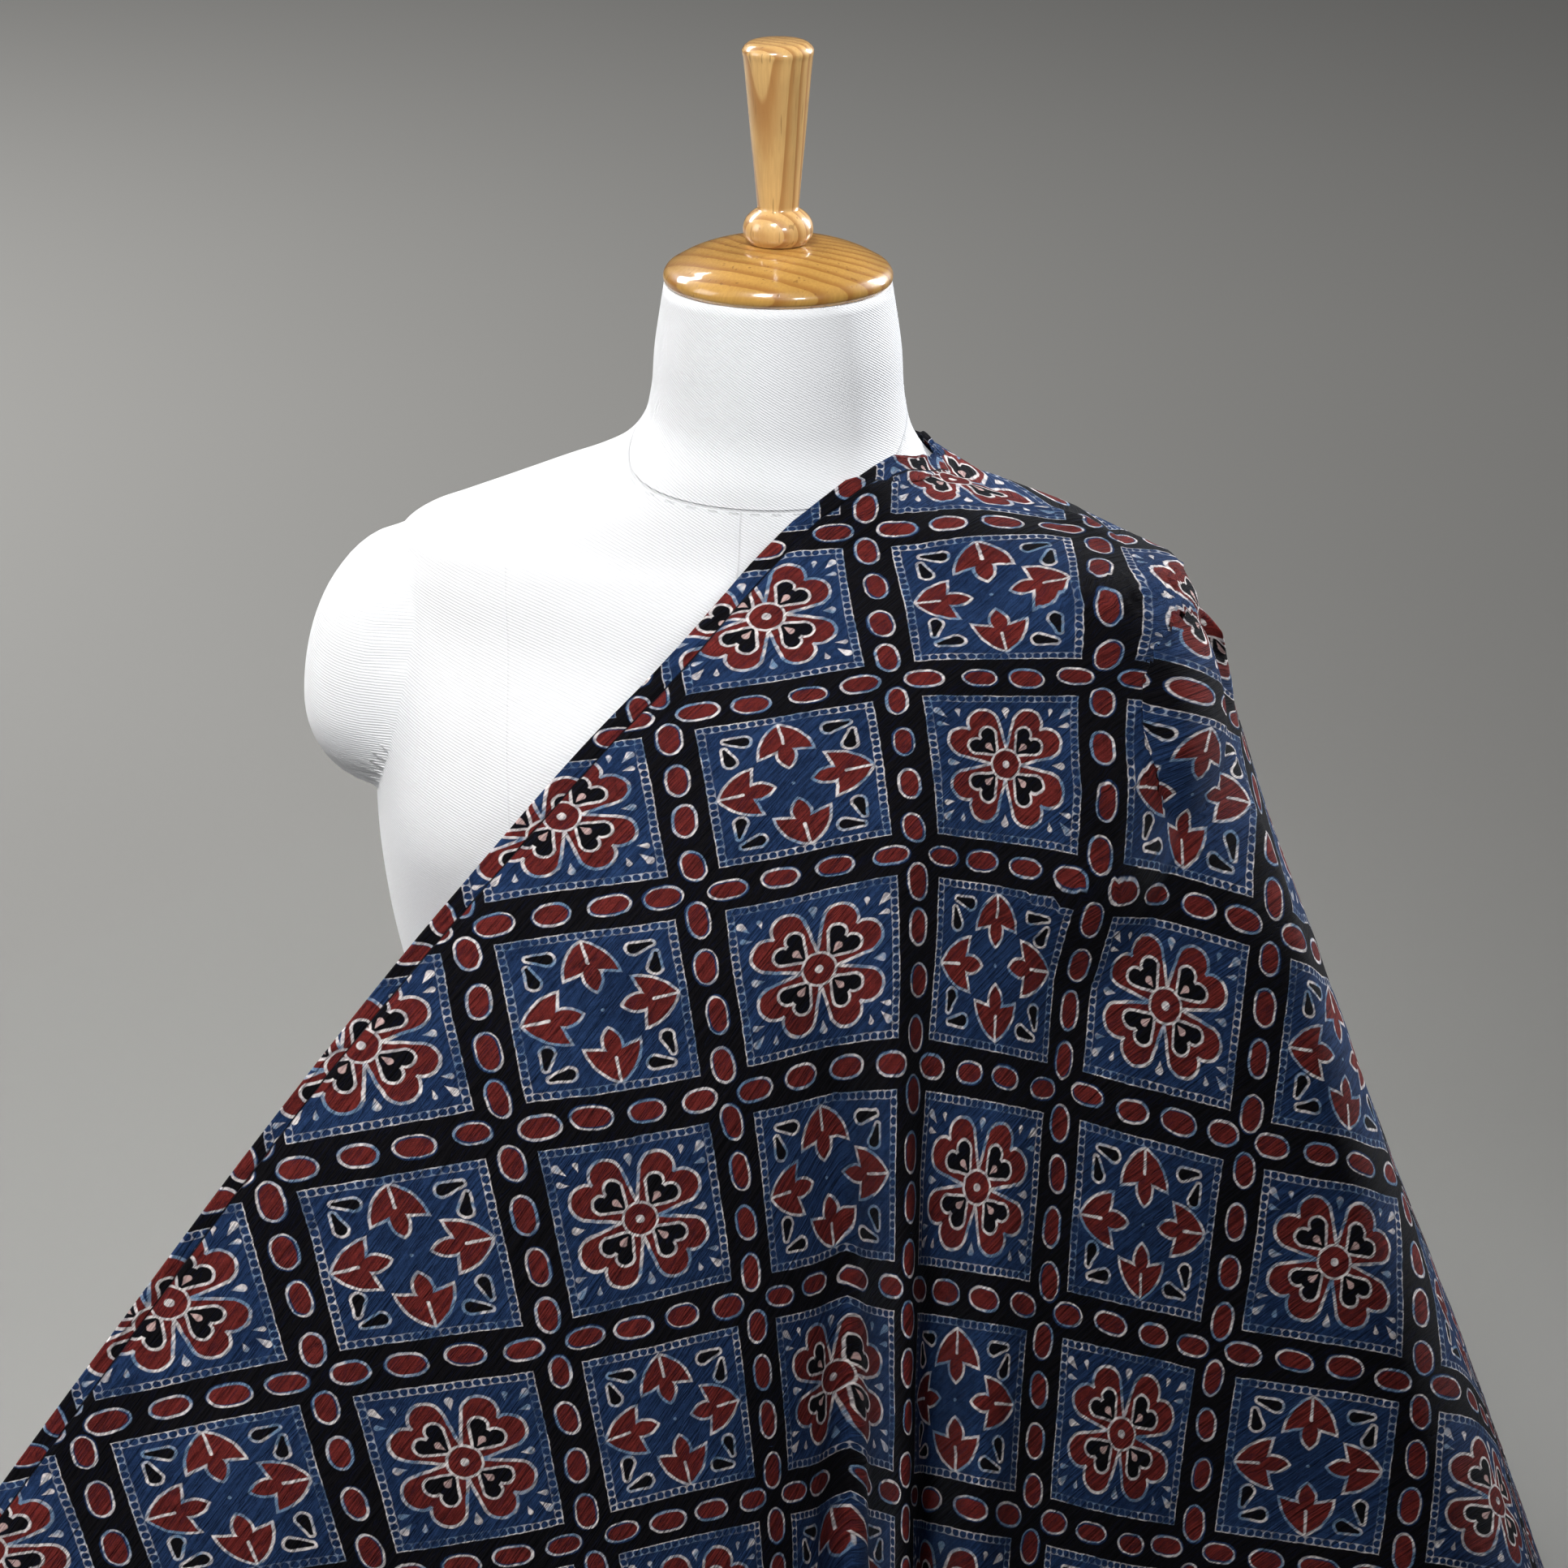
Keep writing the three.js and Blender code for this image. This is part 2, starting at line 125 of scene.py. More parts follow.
# Where each fold line of the cloth runs, and what part of the print lies on it.
# columns: where it leaves the crest; x, y, z at chest, bust and low level; then the
# printed square's column and row at the same three levels, in squares of 100 mm
FOLDS = {
    "edge": (0, -64.5, -115, 573.5, -142, -142.5, 491, -309, -172, 275.5,
             -1.125, -1.13, -2.03, -0.15, -3.945, 1.785),
    "left_1": (6, -24, -119, 571, -85, -148, 488, -201, -180, 281, -0.75, -1, -1.5, 0, -3, 2),
    "left_2": (12, 8, -119, 576, -35, -148, 496, -99, -172, 294, -0.42, -1, -1, 0, -2, 2),
    "left_3": (18, 34, -117, 580, 1, -146, 502, -10, -158, 309, -0.16, -1, -0.62, 0, -1, 2),
    "tuck": (24, 52, -113, 581, 29, -144, 508, 30, -131, 305, 0.02, -1, -0.34, 0, -0.42, 2),
    "ridge_1": (30, 71, -108, 581, 56, -142, 512, 56, -170, 320, 0.22, -1, -0.05, 0, -0.03, 2),
    "valley_2": (40, 87, -102, 579, 73, -131, 507, 69, -136, 304, 0.38, -1, 0.16, 0, 0.3, 2),
    "ridge_2": (58, 117, -89, 575, 106, -114, 496, 92, -155, 308, 0.72, -1, 0.62, 0, 0.62, 2),
    "valley_3": (78, 147, -68, 567, 139, -88, 480, 121, -130, 291, 1.09, -1, 1.08, 0, 1.02, 2),
    "right_1": (99, 171, -48, 557, 180, -72, 464, 159, -112, 273, 1.38, -1, 1.54, 0, 1.5, 2),
    "right_2": (120, 191, -27, 543, 221, -52, 444, 200, -90, 254, 1.57, -1, 1.98, 0, 2, 2),
    "right_3": (140, 202, -8, 531, 243, -24, 424, 297, -54, 220, 1.71, -1, 2.3, 0, 3, 2),
    "side": (165, 210, 16, 520, 251, 24, 405, 331, -5, 185, 1.91, -0.98, 2.6, -0.1, 3.5, 2),
    "back_1": (140, 204, 62, 535, 233, 86, 425, 325, 60, 200, 2.0, -1.5, 2.9, -1.2, 4.5, 1.2),
    "back_2": (114, 178, 92, 552, 190, 115, 450, 280, 122, 225, 1.9, -2.0, 2.9, -1.9, 4.8, 0.3),
    "back_3": (88, 150, 108, 570, 150, 136, 468, 225, 172, 250, 1.8, -2.4, 2.9, -2.4, 5, -0.5),
    "back_4": (62, 112, 122, 582, 108, 146, 478, 150, 152, 260, 1.6, -2.8, 2.7, -2.9, 4.9, -1.5),
    "back_5": (38, 70, 128, 590, 66, 150, 486, 80, 187, 275, 1.5, -3.0, 2.5, -3.3, 4.6, -2.3),
    "back_6": (18, 38, 130, 596, 26, 150, 490, 10, 166, 280, 1.4, -3.2, 2.3, -3.6, 4.3, -3.1),
    "back_edge": (0, 8, 128, 600, -18, 152, 494, -60, 172, 285, 1.2, -3.4, 2.0, -3.9, 4, -3.7),
}


# Numbers to shapes.

def hermite(u, h, start, end, start_slope, end_slope):
    """A cubic from start to end over a step h, with the given slopes; u runs from 0 to 1."""
    v = 1 - u
    return ((1 + 2 * u) * v * v * start + u * v * v * h * start_slope
            + u * u * (3 - 2 * u) * end - u * u * v * h * end_slope)


def slopes(steps, rises):
    """The slope at each knot: the slopes of the two steps beside it, the nearer counting more."""
    ratio = rises / steps
    inner = (ratio[:-1] * steps[1:] + ratio[1:] * steps[:-1]) / (steps[:-1] + steps[1:])
    return np.concatenate([ratio[:1], inner, ratio[-1:]])


def smooth_rows(knots, rows, at):
    """A smooth curve through rows of numbers at rising knots, read at the places at."""
    knots, rows, at = np.asarray(knots, float), np.asarray(rows, float), np.asarray(at, float)
    rows = rows.reshape(len(knots), -1)
    steps = np.diff(knots)[:, None]
    slope = slopes(steps, np.diff(rows, axis=0))
    cell = np.clip(np.searchsorted(knots, at, side="right") - 1, 0, len(knots) - 2)
    h = steps[cell]
    u = (at - knots[cell])[:, None] / h
    return hermite(u, h, rows[cell], rows[cell + 1], slope[cell], slope[cell + 1])


def smooth_lines(knots, stations, at, start):
    """As smooth_rows, for many lines at once: stations are (station, line, number), knots
    (station, line), at the running length on each line, start each line's first slope."""
    steps = np.diff(knots, axis=0)[..., None]
    slope = slopes(steps, np.diff(stations, axis=0))
    slope[0] = start
    line = np.arange(knots.shape[1])
    cell = np.clip((at[None] >= knots).sum(0) - 1, 0, len(knots) - 2)
    h = steps[cell, line]
    u = (at - knots[cell, line])[:, None] / h
    return hermite(u, h, stations[cell, line], stations[cell + 1, line],
                   slope[cell, line], slope[cell + 1, line])


def put_mesh(name, points, faces, maps=None, smooth=True):
    """A mesh object at the origin from points in millimetres; maps has one pair for each point."""
    mesh = bpy.data.meshes.new(name)
    mesh.from_pydata((np.asarray(points) / 1000).tolist(), [], [tuple(f) for f in faces])
    corners = np.empty(len(mesh.loops), int)
    mesh.loops.foreach_get("vertex_index", corners)
    for title, pairs in (maps or {}).items():
        layer = mesh.uv_layers.new(name=title)
        layer.data.foreach_set("uv", np.asarray(pairs, np.float32)[corners].ravel())
    mesh.polygons.foreach_set("use_smooth", [smooth] * len(mesh.polygons))
    mesh.update()
    obj = bpy.data.objects.new(name, mesh)
    bpy.context.scene.collection.objects.link(obj)
    return obj


def grid_faces(ids):
    """Quads between neighbouring rows and columns of an array of point numbers; a quad
    with two equal corners becomes a triangle."""
    quads = np.stack([ids[:-1, :-1], ids[1:, :-1], ids[1:, 1:], ids[:-1, 1:]], -1).reshape(-1, 4)
    return [tuple(dict.fromkeys(q)) for q in quads.tolist() if len(set(q)) > 2]


def point_normals(points, faces):
    """Each point's normal: the sum of the normals of the quads around it."""
    quads = np.array(faces)
    across, other = (points[quads[:, k + 2]] - points[quads[:, k]] for k in (0, 1))
    normal = np.cross(across, other)
    total = np.zeros_like(points)
    for corner in quads.T:
        np.add.at(total, corner, normal)
    return total / np.maximum(np.linalg.norm(total, axis=1, keepdims=True), 1e-9)


def ring_faces(levels, sides):
    """Faces of a skin of rings, closed by two centre points that come after the rings'."""
    ids = np.arange(levels * sides).reshape(levels, sides)
    ends = [np.full((1, sides), levels * sides + k) for k in (0, 1)]
    ids = np.concatenate([ends[0], ids, ends[1]])
    ids = np.concatenate([ids, ids[:, :1]], 1)
    return grid_faces(ids.T[::-1])


def revolve(profile, base, sides, squash=1.0, turn=0.0):
    """A profile of radii and heights, carried round the Z axis and closed on the axis."""
    profile = np.asarray(profile, float)
    angle = 2 * np.pi * np.arange(sides) / sides
    ring = np.stack([np.cos(angle), squash * np.sin(angle)], -1)
    x = profile[:, None, 0] * (ring[:, 0] * math.cos(turn) - ring[:, 1] * math.sin(turn))
    y = profile[:, None, 0] * (ring[:, 0] * math.sin(turn) + ring[:, 1] * math.cos(turn))
    z = np.broadcast_to(profile[:, 1:2] + base, x.shape)
    points = np.concatenate([np.stack([x, y, z], -1).reshape(-1, 3),
                             [(0, 0, base + profile[0, 1]), (0, 0, base + profile[-1, 1])]])
    return points, ring_faces(len(profile), sides)


def rounded(profile, step):
    """A smooth curve through a profile's points, read about every step millimetres."""
    profile = np.asarray(profile, float)
    run = np.concatenate([[0], np.cumsum(np.linalg.norm(np.diff(profile, axis=0), axis=1))])
    return smooth_rows(run, profile, np.linspace(0, run[-1], int(run[-1] / step) + 2))


# The form.

def form_section(z):
    """Half width, half depth and set-back of the trunk at height z."""
    z = np.clip(z, FORM_SECTIONS[0, 0], FORM_SECTIONS[-1, 0])
    return [np.interp(z, FORM_SECTIONS[:, 0], FORM_SECTIONS[:, k]) for k in (1, 2, 3)]


def lean(x, z):
    """How far the form's shoulder is lowered at a place, fading away below the stumps and
    up the neck."""
    low = np.clip((z - 440) / 130, 0, 1)
    high = np.clip((712 - z) / 50, 0, 1)
    fade = low * low * (3 - 2 * low) * high * high * (3 - 2 * high)
    return np.interp(x, FORM_LEAN[:, 0], FORM_LEAN[:, 1]) * fade


def skin_distance(points):
    """Roughly how far points lie outside the form's skin, in millimetres: the sections'
    superellipse level over its slope, or the same for the nearer stump."""
    c, s = math.cos(FORM_TURN), math.sin(FORM_TURN)
    x = points[..., 0] * c + points[..., 1] * s
    y = -points[..., 0] * s + points[..., 1] * c
    z = points[..., 2] + lean(x, points[..., 2])

    n = FORM_ROUND

    def trunk(height):
        wide, deep, back = form_section(height)
        return (np.abs(x / wide) ** n + np.abs((y - back) / deep) ** n) ** (1 / n) - 1

    wide, deep, _ = form_section(z)
    rise = (trunk(z + 1) - trunk(z - 1)) / 2
    nearest = trunk(z) / np.hypot(1 / np.minimum(wide, deep), rise)
    for side, out, back, height, rx, ry, rz, _ in STUMPS:
        r = [(x - side * out) / rx, (y - back) / ry, (z - height) / rz]
        size = np.maximum(np.sqrt(r[0] ** 2 + r[1] ** 2 + r[2] ** 2), 1e-6)
        fall = np.sqrt((r[0] / rx) ** 2 + (r[1] / ry) ** 2 + (r[2] / rz) ** 2) / size
        nearest = np.minimum(nearest, (size - 1) / np.maximum(fall, 1e-6))
    return nearest


def clear_of_skin(points, clear):
    """Moves points out along the skin distance's slope until they clear the skin."""
    points = points.copy()
    for _ in range(8):
        short = clear - skin_distance(points)
        if (short <= 0).all():
            break
        slope = np.stack([skin_distance(points + e) - skin_distance(points - e)
                          for e in np.eye(3) * 0.5], -1)
        size = np.maximum(np.linalg.norm(slope, axis=-1, keepdims=True), 0.2)
        points += slope / size * np.clip(short, 0, 12)[..., None]
    return points


def form_surface(sides):
    """The form as one skin r(turn, height) about its own centre line: the farther of the
    trunk's superellipse and the far side of a stump's ellipse at that height."""
    fine = np.linspace(FORM_FOOT, NECK_TOP, 4000)
    wide, deep, back = smooth_rows(FORM_SECTIONS[:, 0], FORM_SECTIONS[:, 1:], fine).T
    # more rings under the larger stump and at the top of the stumps
    closer = 14 * np.exp(-((fine - 483.5) / 4.0) ** 2) + 1.5 * np.exp(-((fine - 602) / 6.0) ** 2)
    run = np.cumsum(np.hypot(np.gradient(fine), np.gradient(wide)) * (1 + closer))
    z = np.interp(np.linspace(run[0], run[-1], 210), run, fine)
    wide, deep, back = smooth_rows(FORM_SECTIONS[:, 0], FORM_SECTIONS[:, 1:], z).T
    turn = np.linspace(0, 2 * np.pi, sides, endpoint=False)
    turn = turn - 0.18 * np.sin(2 * turn)
    c, s = np.cos(turn)[None], np.sin(turn)[None]
    n = FORM_ROUND
    r = ((np.abs(c) / wide[:, None]) ** n + (np.abs(s) / deep[:, None]) ** n) ** (-1 / n)
    for side, out, behind, height, rx, ry, up, down in STUMPS:
        level = (z - height) / np.where(z > height, up, down)
        size = np.sqrt(np.clip(1 - level ** 2, 1e-9, 1))[:, None]
        kx, ky = 1 / (rx * size) ** 2, 1 / (ry * size) ** 2
        x0, y0 = side * out, (behind - back)[:, None]
        a = c * c * kx + s * s * ky
        b = c * x0 * kx + s * y0 * ky
        d = b * b - a * (x0 * x0 * kx + y0 * y0 * ky - 1)
        far = (b + np.sqrt(np.maximum(d, 0))) / a
        r = np.where((d > 0) & (np.abs(level)[:, None] < 1) & (far > r), far, r)
    x, y = r * c, r * s + back[:, None]
    ct, st = math.cos(FORM_TURN), math.sin(FORM_TURN)
    lowered = z[:, None] - lean(x, z[:, None])
    points = np.stack([x * ct - y * st, x * st + y * ct, lowered], -1)
    centre = [(0, 0, z[0]), (0, 0, z[-1])]
    return np.concatenate([points.reshape(-1, 3), centre]), ring_faces(len(z), sides)


# The cloth.

def fold_places(columns):
    """Places along the fold table, in front from the edge to the side and behind from the
    same crest distances, with more of them by the edge and the tuck."""
    table = np.array(list(FOLDS.values()))
    names = list(FOLDS)
    apart = np.linalg.norm(np.diff(table[:, 7:10], axis=0), axis=1)
    knots = np.concatenate([[0], np.cumsum(3 * np.sqrt(apart) + 0.5 * apart)])
    tip, tuck = knots[names.index("side")], knots[names.index("tuck")]
    fine = np.linspace(0, tip, 4000)
    weight = 1 + 1.6 * np.exp(-((fine - tuck) / 14) ** 2) + 2.2 * np.exp(-fine / 6)
    run = np.cumsum(weight)
    run = (run - run[0]) / (run[-1] - run[0])
    front = np.interp(np.linspace(0, 1, columns), run, fine)
    crest = smooth_rows(knots, table[:, :1], front)[:, 0]
    behind = np.linspace(tip, knots[-1], 4000)
    leave = np.minimum.accumulate(smooth_rows(knots, table[:, :1], behind)[:, 0])
    back = np.interp(crest, leave[::-1], behind[::-1])
    back[-1], back[0] = tip, knots[-1]
    return knots, table, front, back, tuck


def cloth_half(knots, table, places, rows, leaving):
    """Lines down one half of the cloth from the crest to the hem: (row, line, x y z a b).
    Each line is a smooth curve through its crest, chest, bust, low and hem points."""
    row = smooth_rows(knots, table, places)
    along = np.clip(row[:, 0], 0, CREST_END)
    crest = smooth_rows(CREST[:, 0], CREST[:, 1:], along)
    crest_print = CREST_PRINT + along[:, None] / SQUARE * math.sqrt(0.5)
    chest, bust, low = row[:, 1:4], row[:, 4:7], row[:, 7:10]
    chest_print, bust_print, low_print = row[:, 10:12], row[:, 12:14], row[:, 14:16]
    fall = low[:, 2:] / (bust[:, 2:] - low[:, 2:])
    hem = np.concatenate([low[:, :2] + (low - bust)[:, :2] * fall * HEM_PULL, 0 * low[:, 2:]], 1)
    reach = np.linalg.norm(hem - low, axis=1) / np.linalg.norm(low - bust, axis=1)
    hem_print = low_print + (low_print - bust_print) * reach[:, None]
    stations = np.stack([crest, chest, bust, low, hem])
    prints = np.stack([crest_print, chest_print, bust_print, low_print, hem_print])
    lengths = np.concatenate([np.zeros((1, len(places))),
                              np.cumsum(np.linalg.norm(np.diff(stations, axis=0), axis=2), axis=0)])
    slope, faster, neck_rise = leaving
    out = (chest - crest) * (1, 1, 0)
    out = out / np.linalg.norm(out, axis=1, keepdims=True) + (0, 0, slope)
    rise = neck_rise * np.exp(-(along / NECK_REACH) ** 2)
    out[:, 2] += rise
    out /= np.linalg.norm(out, axis=1, keepdims=True)
    start = np.concatenate([out, (prints[1] - prints[0]) / lengths[1][:, None] * faster], 1)
    start[:, 4] -= rise / SQUARE
    both = np.concatenate([stations, prints], 2)
    share = (np.arange(rows + 1) / rows) ** ROW_SPREAD
    return np.stack([smooth_lines(lengths, both, lengths[-1] * t, start) for t in share])


def ripple(x, seed, waves):
    """A sum of sines with fixed uneven lengths and phases, about from -1 to 1."""
    total = 0
    for k in range(waves):
        total = total + math.sin(seed * 12.9 + k * 4.1) * np.sin(x * (1 + 0.37 * k) + seed * 7.7 + k * k)
    return total / math.sqrt(waves)


def relax(values, points, faces, centre, reach, rounds, even):
    """Draws each point's values towards the mean of its neighbours', less and less away
    from centre; unless even, a neighbour over a short edge of wide faces counts more.
    faces are quads."""
    least = 0.01
    corners = np.array(faces)
    sides = np.linalg.norm(points[np.roll(corners, -1, 1)] - points[corners], axis=2)
    weight = np.ones_like(sides)
    if not even:
        weight = (np.roll(sides, 1, 1) + np.roll(sides, -1, 1)) / (sides + 0.3)
    first, second, weight = corners.ravel(), np.roll(corners, -1, 1).ravel(), weight.ravel()
    pull = np.exp(-(np.linalg.norm(points - centre, axis=1) / reach) ** 2)
    used = np.maximum(pull[first], pull[second]) > least
    first, second, weight = first[used], second[used], weight[used]
    near, slot = np.unique(np.concatenate([first, second]), return_inverse=True)
    first, second = slot[:len(first)], slot[len(first):]
    count = np.bincount(first, weight, len(near)) + np.bincount(second, weight, len(near))
    pull = (np.where(pull[near] > least, pull[near], 0) * 0.8 / count)[:, None]
    some = values[near]
    for _ in range(rounds):
        step = weight[:, None] * (some[second] - some[first])
        total = [np.bincount(first, column, len(near)) - np.bincount(second, column, len(near))
                 for column in step.T]
        some = some + pull * np.stack(total, -1)
    values = values.copy()
    values[near] = some
    return values


def joined_sheet(columns, rows):
    """Both halves of the cloth joined over the crest and the side line, smoothed at the
    shoulder's tip and cleared of the form. Gives points and print by row and column, the
    points' numbers, and the tuck's column."""
    knots, table, front, back, tuck = fold_places(columns)
    halves = [cloth_half(knots, table, places, rows, LEAVING[name])
              for name, places in (("front", front), ("back", back))]
    sheet = np.concatenate([halves[0][::-1], halves[1][1:]])
    ids = np.arange(sheet.shape[0] * columns).reshape(-1, columns)
    ids[rows + 1:, -1] = ids[:rows, -1][::-1]
    faces = grid_faces(ids)
    tip = sheet[rows, -1, :3]
    flat = sheet.reshape(-1, 5)
    flat = relax(flat, flat[:, :3], faces, tip, *TIP_SHAPE, True)
    points = clear_of_skin(flat[:, :3], CLEAR)
    prints = relax(flat[:, 3:], points, faces, tip, *TIP_PRINT, False)
    return points[ids], prints[ids], ids, np.argmin(np.abs(front - tuck))


def crease_heights(prints, apart, rows, tuck_at, tuck_depth, wrinkle):
    """How far creases lift each point: ripples across the print's diagonal, the pressed
    crease along the edge, and in front the tuck. Also gives the edge map."""
    across = (prints[..., 0] + prints[..., 1]) * HALF_DIAGONAL
    along = (prints[..., 0] - prints[..., 1]) * HALF_DIAGONAL
    wobble = 5 * ripple(along / 38, 1.3, 3) + 3 * ripple(along / 15, 2.1, 2)
    fine = ripple((across + wobble) / 2.3, 0.7, 3)
    fine = fine * (0.55 + 0.45 * ripple(along / 30 + across / 17, 3.3, 2))
    broad = ripple((across + 2 * wobble) / 9.0, 4.2, 3)
    lift = wrinkle * (0.45 + np.exp(-apart / 70)) * (0.7 * fine + broad)
    from_crease = apart - EDGE_CREASE - 1.5 * ripple(along / 90, 5.1, 2)
    lift = lift - np.exp(-(from_crease / 2) ** 2) + 0.6 * np.exp(-((from_crease - 4) / 3) ** 2)
    is_front = (np.arange(2 * rows + 1) <= rows)[:, None]
    from_tuck = apart - apart[:, tuck_at:tuck_at + 1]
    grow = np.clip((prints[..., 1] - 0.9) / 1.6, 0, 1.4)
    lift = lift - np.where(is_front, tuck_depth * grow * np.exp(-np.abs(from_tuck) / 7), 0)
    return lift, np.stack([from_crease, along], -1) / SQUARE


def turned_under(points, normal, prints, edges, tucked, bend):
    """Adds columns before the edge's: a small round bend, and the strip under the cloth's
    first tucked columns. The directions are evened out along the edge first."""
    inward = points[:, 4:5] - points[:, :1]
    for _ in range(24):
        for field in (inward, normal):
            field[1:-1] += (field[:-2] + field[2:] - 2 * field[1:-1]) / 4
            field /= np.linalg.norm(field, axis=2, keepdims=True)
    edge = points[:, :1]
    turns = np.radians((150, 110, 70, 35))
    bends = [edge + bend * inward * (1 - math.sin(t)) - bend * normal[:, :1] * (1 - math.cos(t))
             for t in turns]
    below = points[:, 1:tucked] - 2 * bend * normal[:, 1:tucked]
    below_print = 2 * prints[:, :1] - prints[:, 1:tucked]
    edge_print = np.repeat(prints[:, :1], len(turns), axis=1)
    points[:, :1] += bend * inward * 0.5
    points = np.concatenate([below[:, ::-1], *bends, points], 1)
    prints = np.concatenate([below_print[:, ::-1], edge_print, prints], 1)
    added = points.shape[1] - edges.shape[1]
    return points, prints, np.concatenate([edges[:, :1].repeat(added, 1), edges], 1)


def cloth_surface(columns, rows, tuck_depth, wrinkle, under, bend):
    """The cloth's points, faces, print map and edge map: the joined sheet, lifted along its
    normals by its creases, with its edge turned under and its hem just off the table."""
    points, prints, ids, tuck_at = joined_sheet(columns, rows)
    faces = grid_faces(ids)
    normal = point_normals(points.reshape(-1, 3), faces)[ids]
    if normal[rows, 5, 2] < 0:
        normal = -normal
        faces = [f[::-1] for f in faces]
    apart = np.zeros(points.shape[:2])
    apart[:, 1:] = np.cumsum(np.linalg.norm(np.diff(points, axis=1), axis=2), axis=1)
    lift, edges = crease_heights(prints, apart, rows, tuck_at, tuck_depth, wrinkle)
    hold = np.clip(skin_distance(points) - CLEAR, 0, 3) / 3
    lift = lift * np.where(lift < 0, hold, 1)
    points = clear_of_skin(points + normal * lift[..., None], CLEAR - 0.2)

    normal = point_normals(points.reshape(-1, 3), faces)[ids]
    tucked = np.searchsorted(apart[rows - 20], under)
    points, prints, edges = turned_under(points, normal, prints, edges, tucked, bend)
    points[[0, -1], :, 2] = HEM_HEIGHT
    ids = np.arange(points.shape[0] * points.shape[1]).reshape(points.shape[:2])
    ids[rows + 1:, -1] = ids[:rows, -1][::-1]
    used, slot = np.unique(ids, return_inverse=True)
    slot = slot.reshape(ids.shape)
    faces = grid_faces(slot)
    flat = points.reshape(-1, 3)[used]
    if point_normals(flat, faces)[slot[rows, tucked + 8], 2] < 0:
        faces = [f[::-1] for f in faces]
    return flat, faces, prints.reshape(-1, 2)[used], edges.reshape(-1, 2)[used]


# Shader maths.

class Socket:
    """A value or vector socket; Python's operators on it add Math nodes."""

    def __init__(self, maker, socket):
        self.maker, self.socket = maker, socket

    def math(self, operation, *others, clamp=False):
        settings = {"operation": operation, "use_clamp": clamp}
        return self.maker.add("ShaderNodeMath", settings, (self, *others))

    def __add__(self, other): return self.math("ADD", other)
    def __sub__(self, other): return self.math("SUBTRACT", other)
    def __rsub__(self, other): return self.maker.value(other).math("SUBTRACT", self)
    def __mul__(self, other): return self.math("MULTIPLY", other)
    def __truediv__(self, other): return self.math("DIVIDE", other)
    def __mod__(self, other): return self.math("FLOORED_MODULO", other)
    def __abs__(self): return self.math("ABSOLUTE")
    def floor(self): return self.math("FLOOR")
    def fract(self): return self.math("FRACT")
    def low(self, other): return self.math("MINIMUM", other)
    def high(self, other): return self.math("MAXIMUM", other)
    def sine(self): return self.math("SINE")
    def sign(self): return self.math("SIGN")
    def over(self, other): return self.math("GREATER_THAN", other)
    def clamp(self): return self.math("ADD", 0, clamp=True)

    def pick(self, yes, no):
        """yes where this is 1, no where it is 0."""
        return self.maker.add("ShaderNodeMix", {"data_type": "FLOAT"}, {0: self, 2: no, 3: yes})

    def step(self, start, end, low=0.0, high=1.0):
        """Smoothly from low at start to high at end."""
        settings = {"interpolation_type": "SMOOTHSTEP"}
        if start > end:
            start, end, low, high = end, start, high, low
        return self.maker.add("ShaderNodeMapRange", settings, (self, start, end, low, high))

    def inside(self, soft=0.3):
        """1 where a distance is under 0, 0 where it is over, soft millimetres between."""
        return self.step(soft, -soft)

    def vector(self, operation, *others, out=0):
        return self.maker.add("ShaderNodeVectorMath", {"operation": operation}, (self, *others), out)

    def length(self):
        return self.vector("LENGTH", out="Value")

    def reach(self, point):
        return self.vector("DISTANCE", point, out="Value")

    def dot(self, direction):
        return self.vector("DOT_PRODUCT", direction, out="Value")

    def parts(self):
        return [self.maker.add("ShaderNodeSeparateXYZ", {}, (self,), k) for k in range(3)]


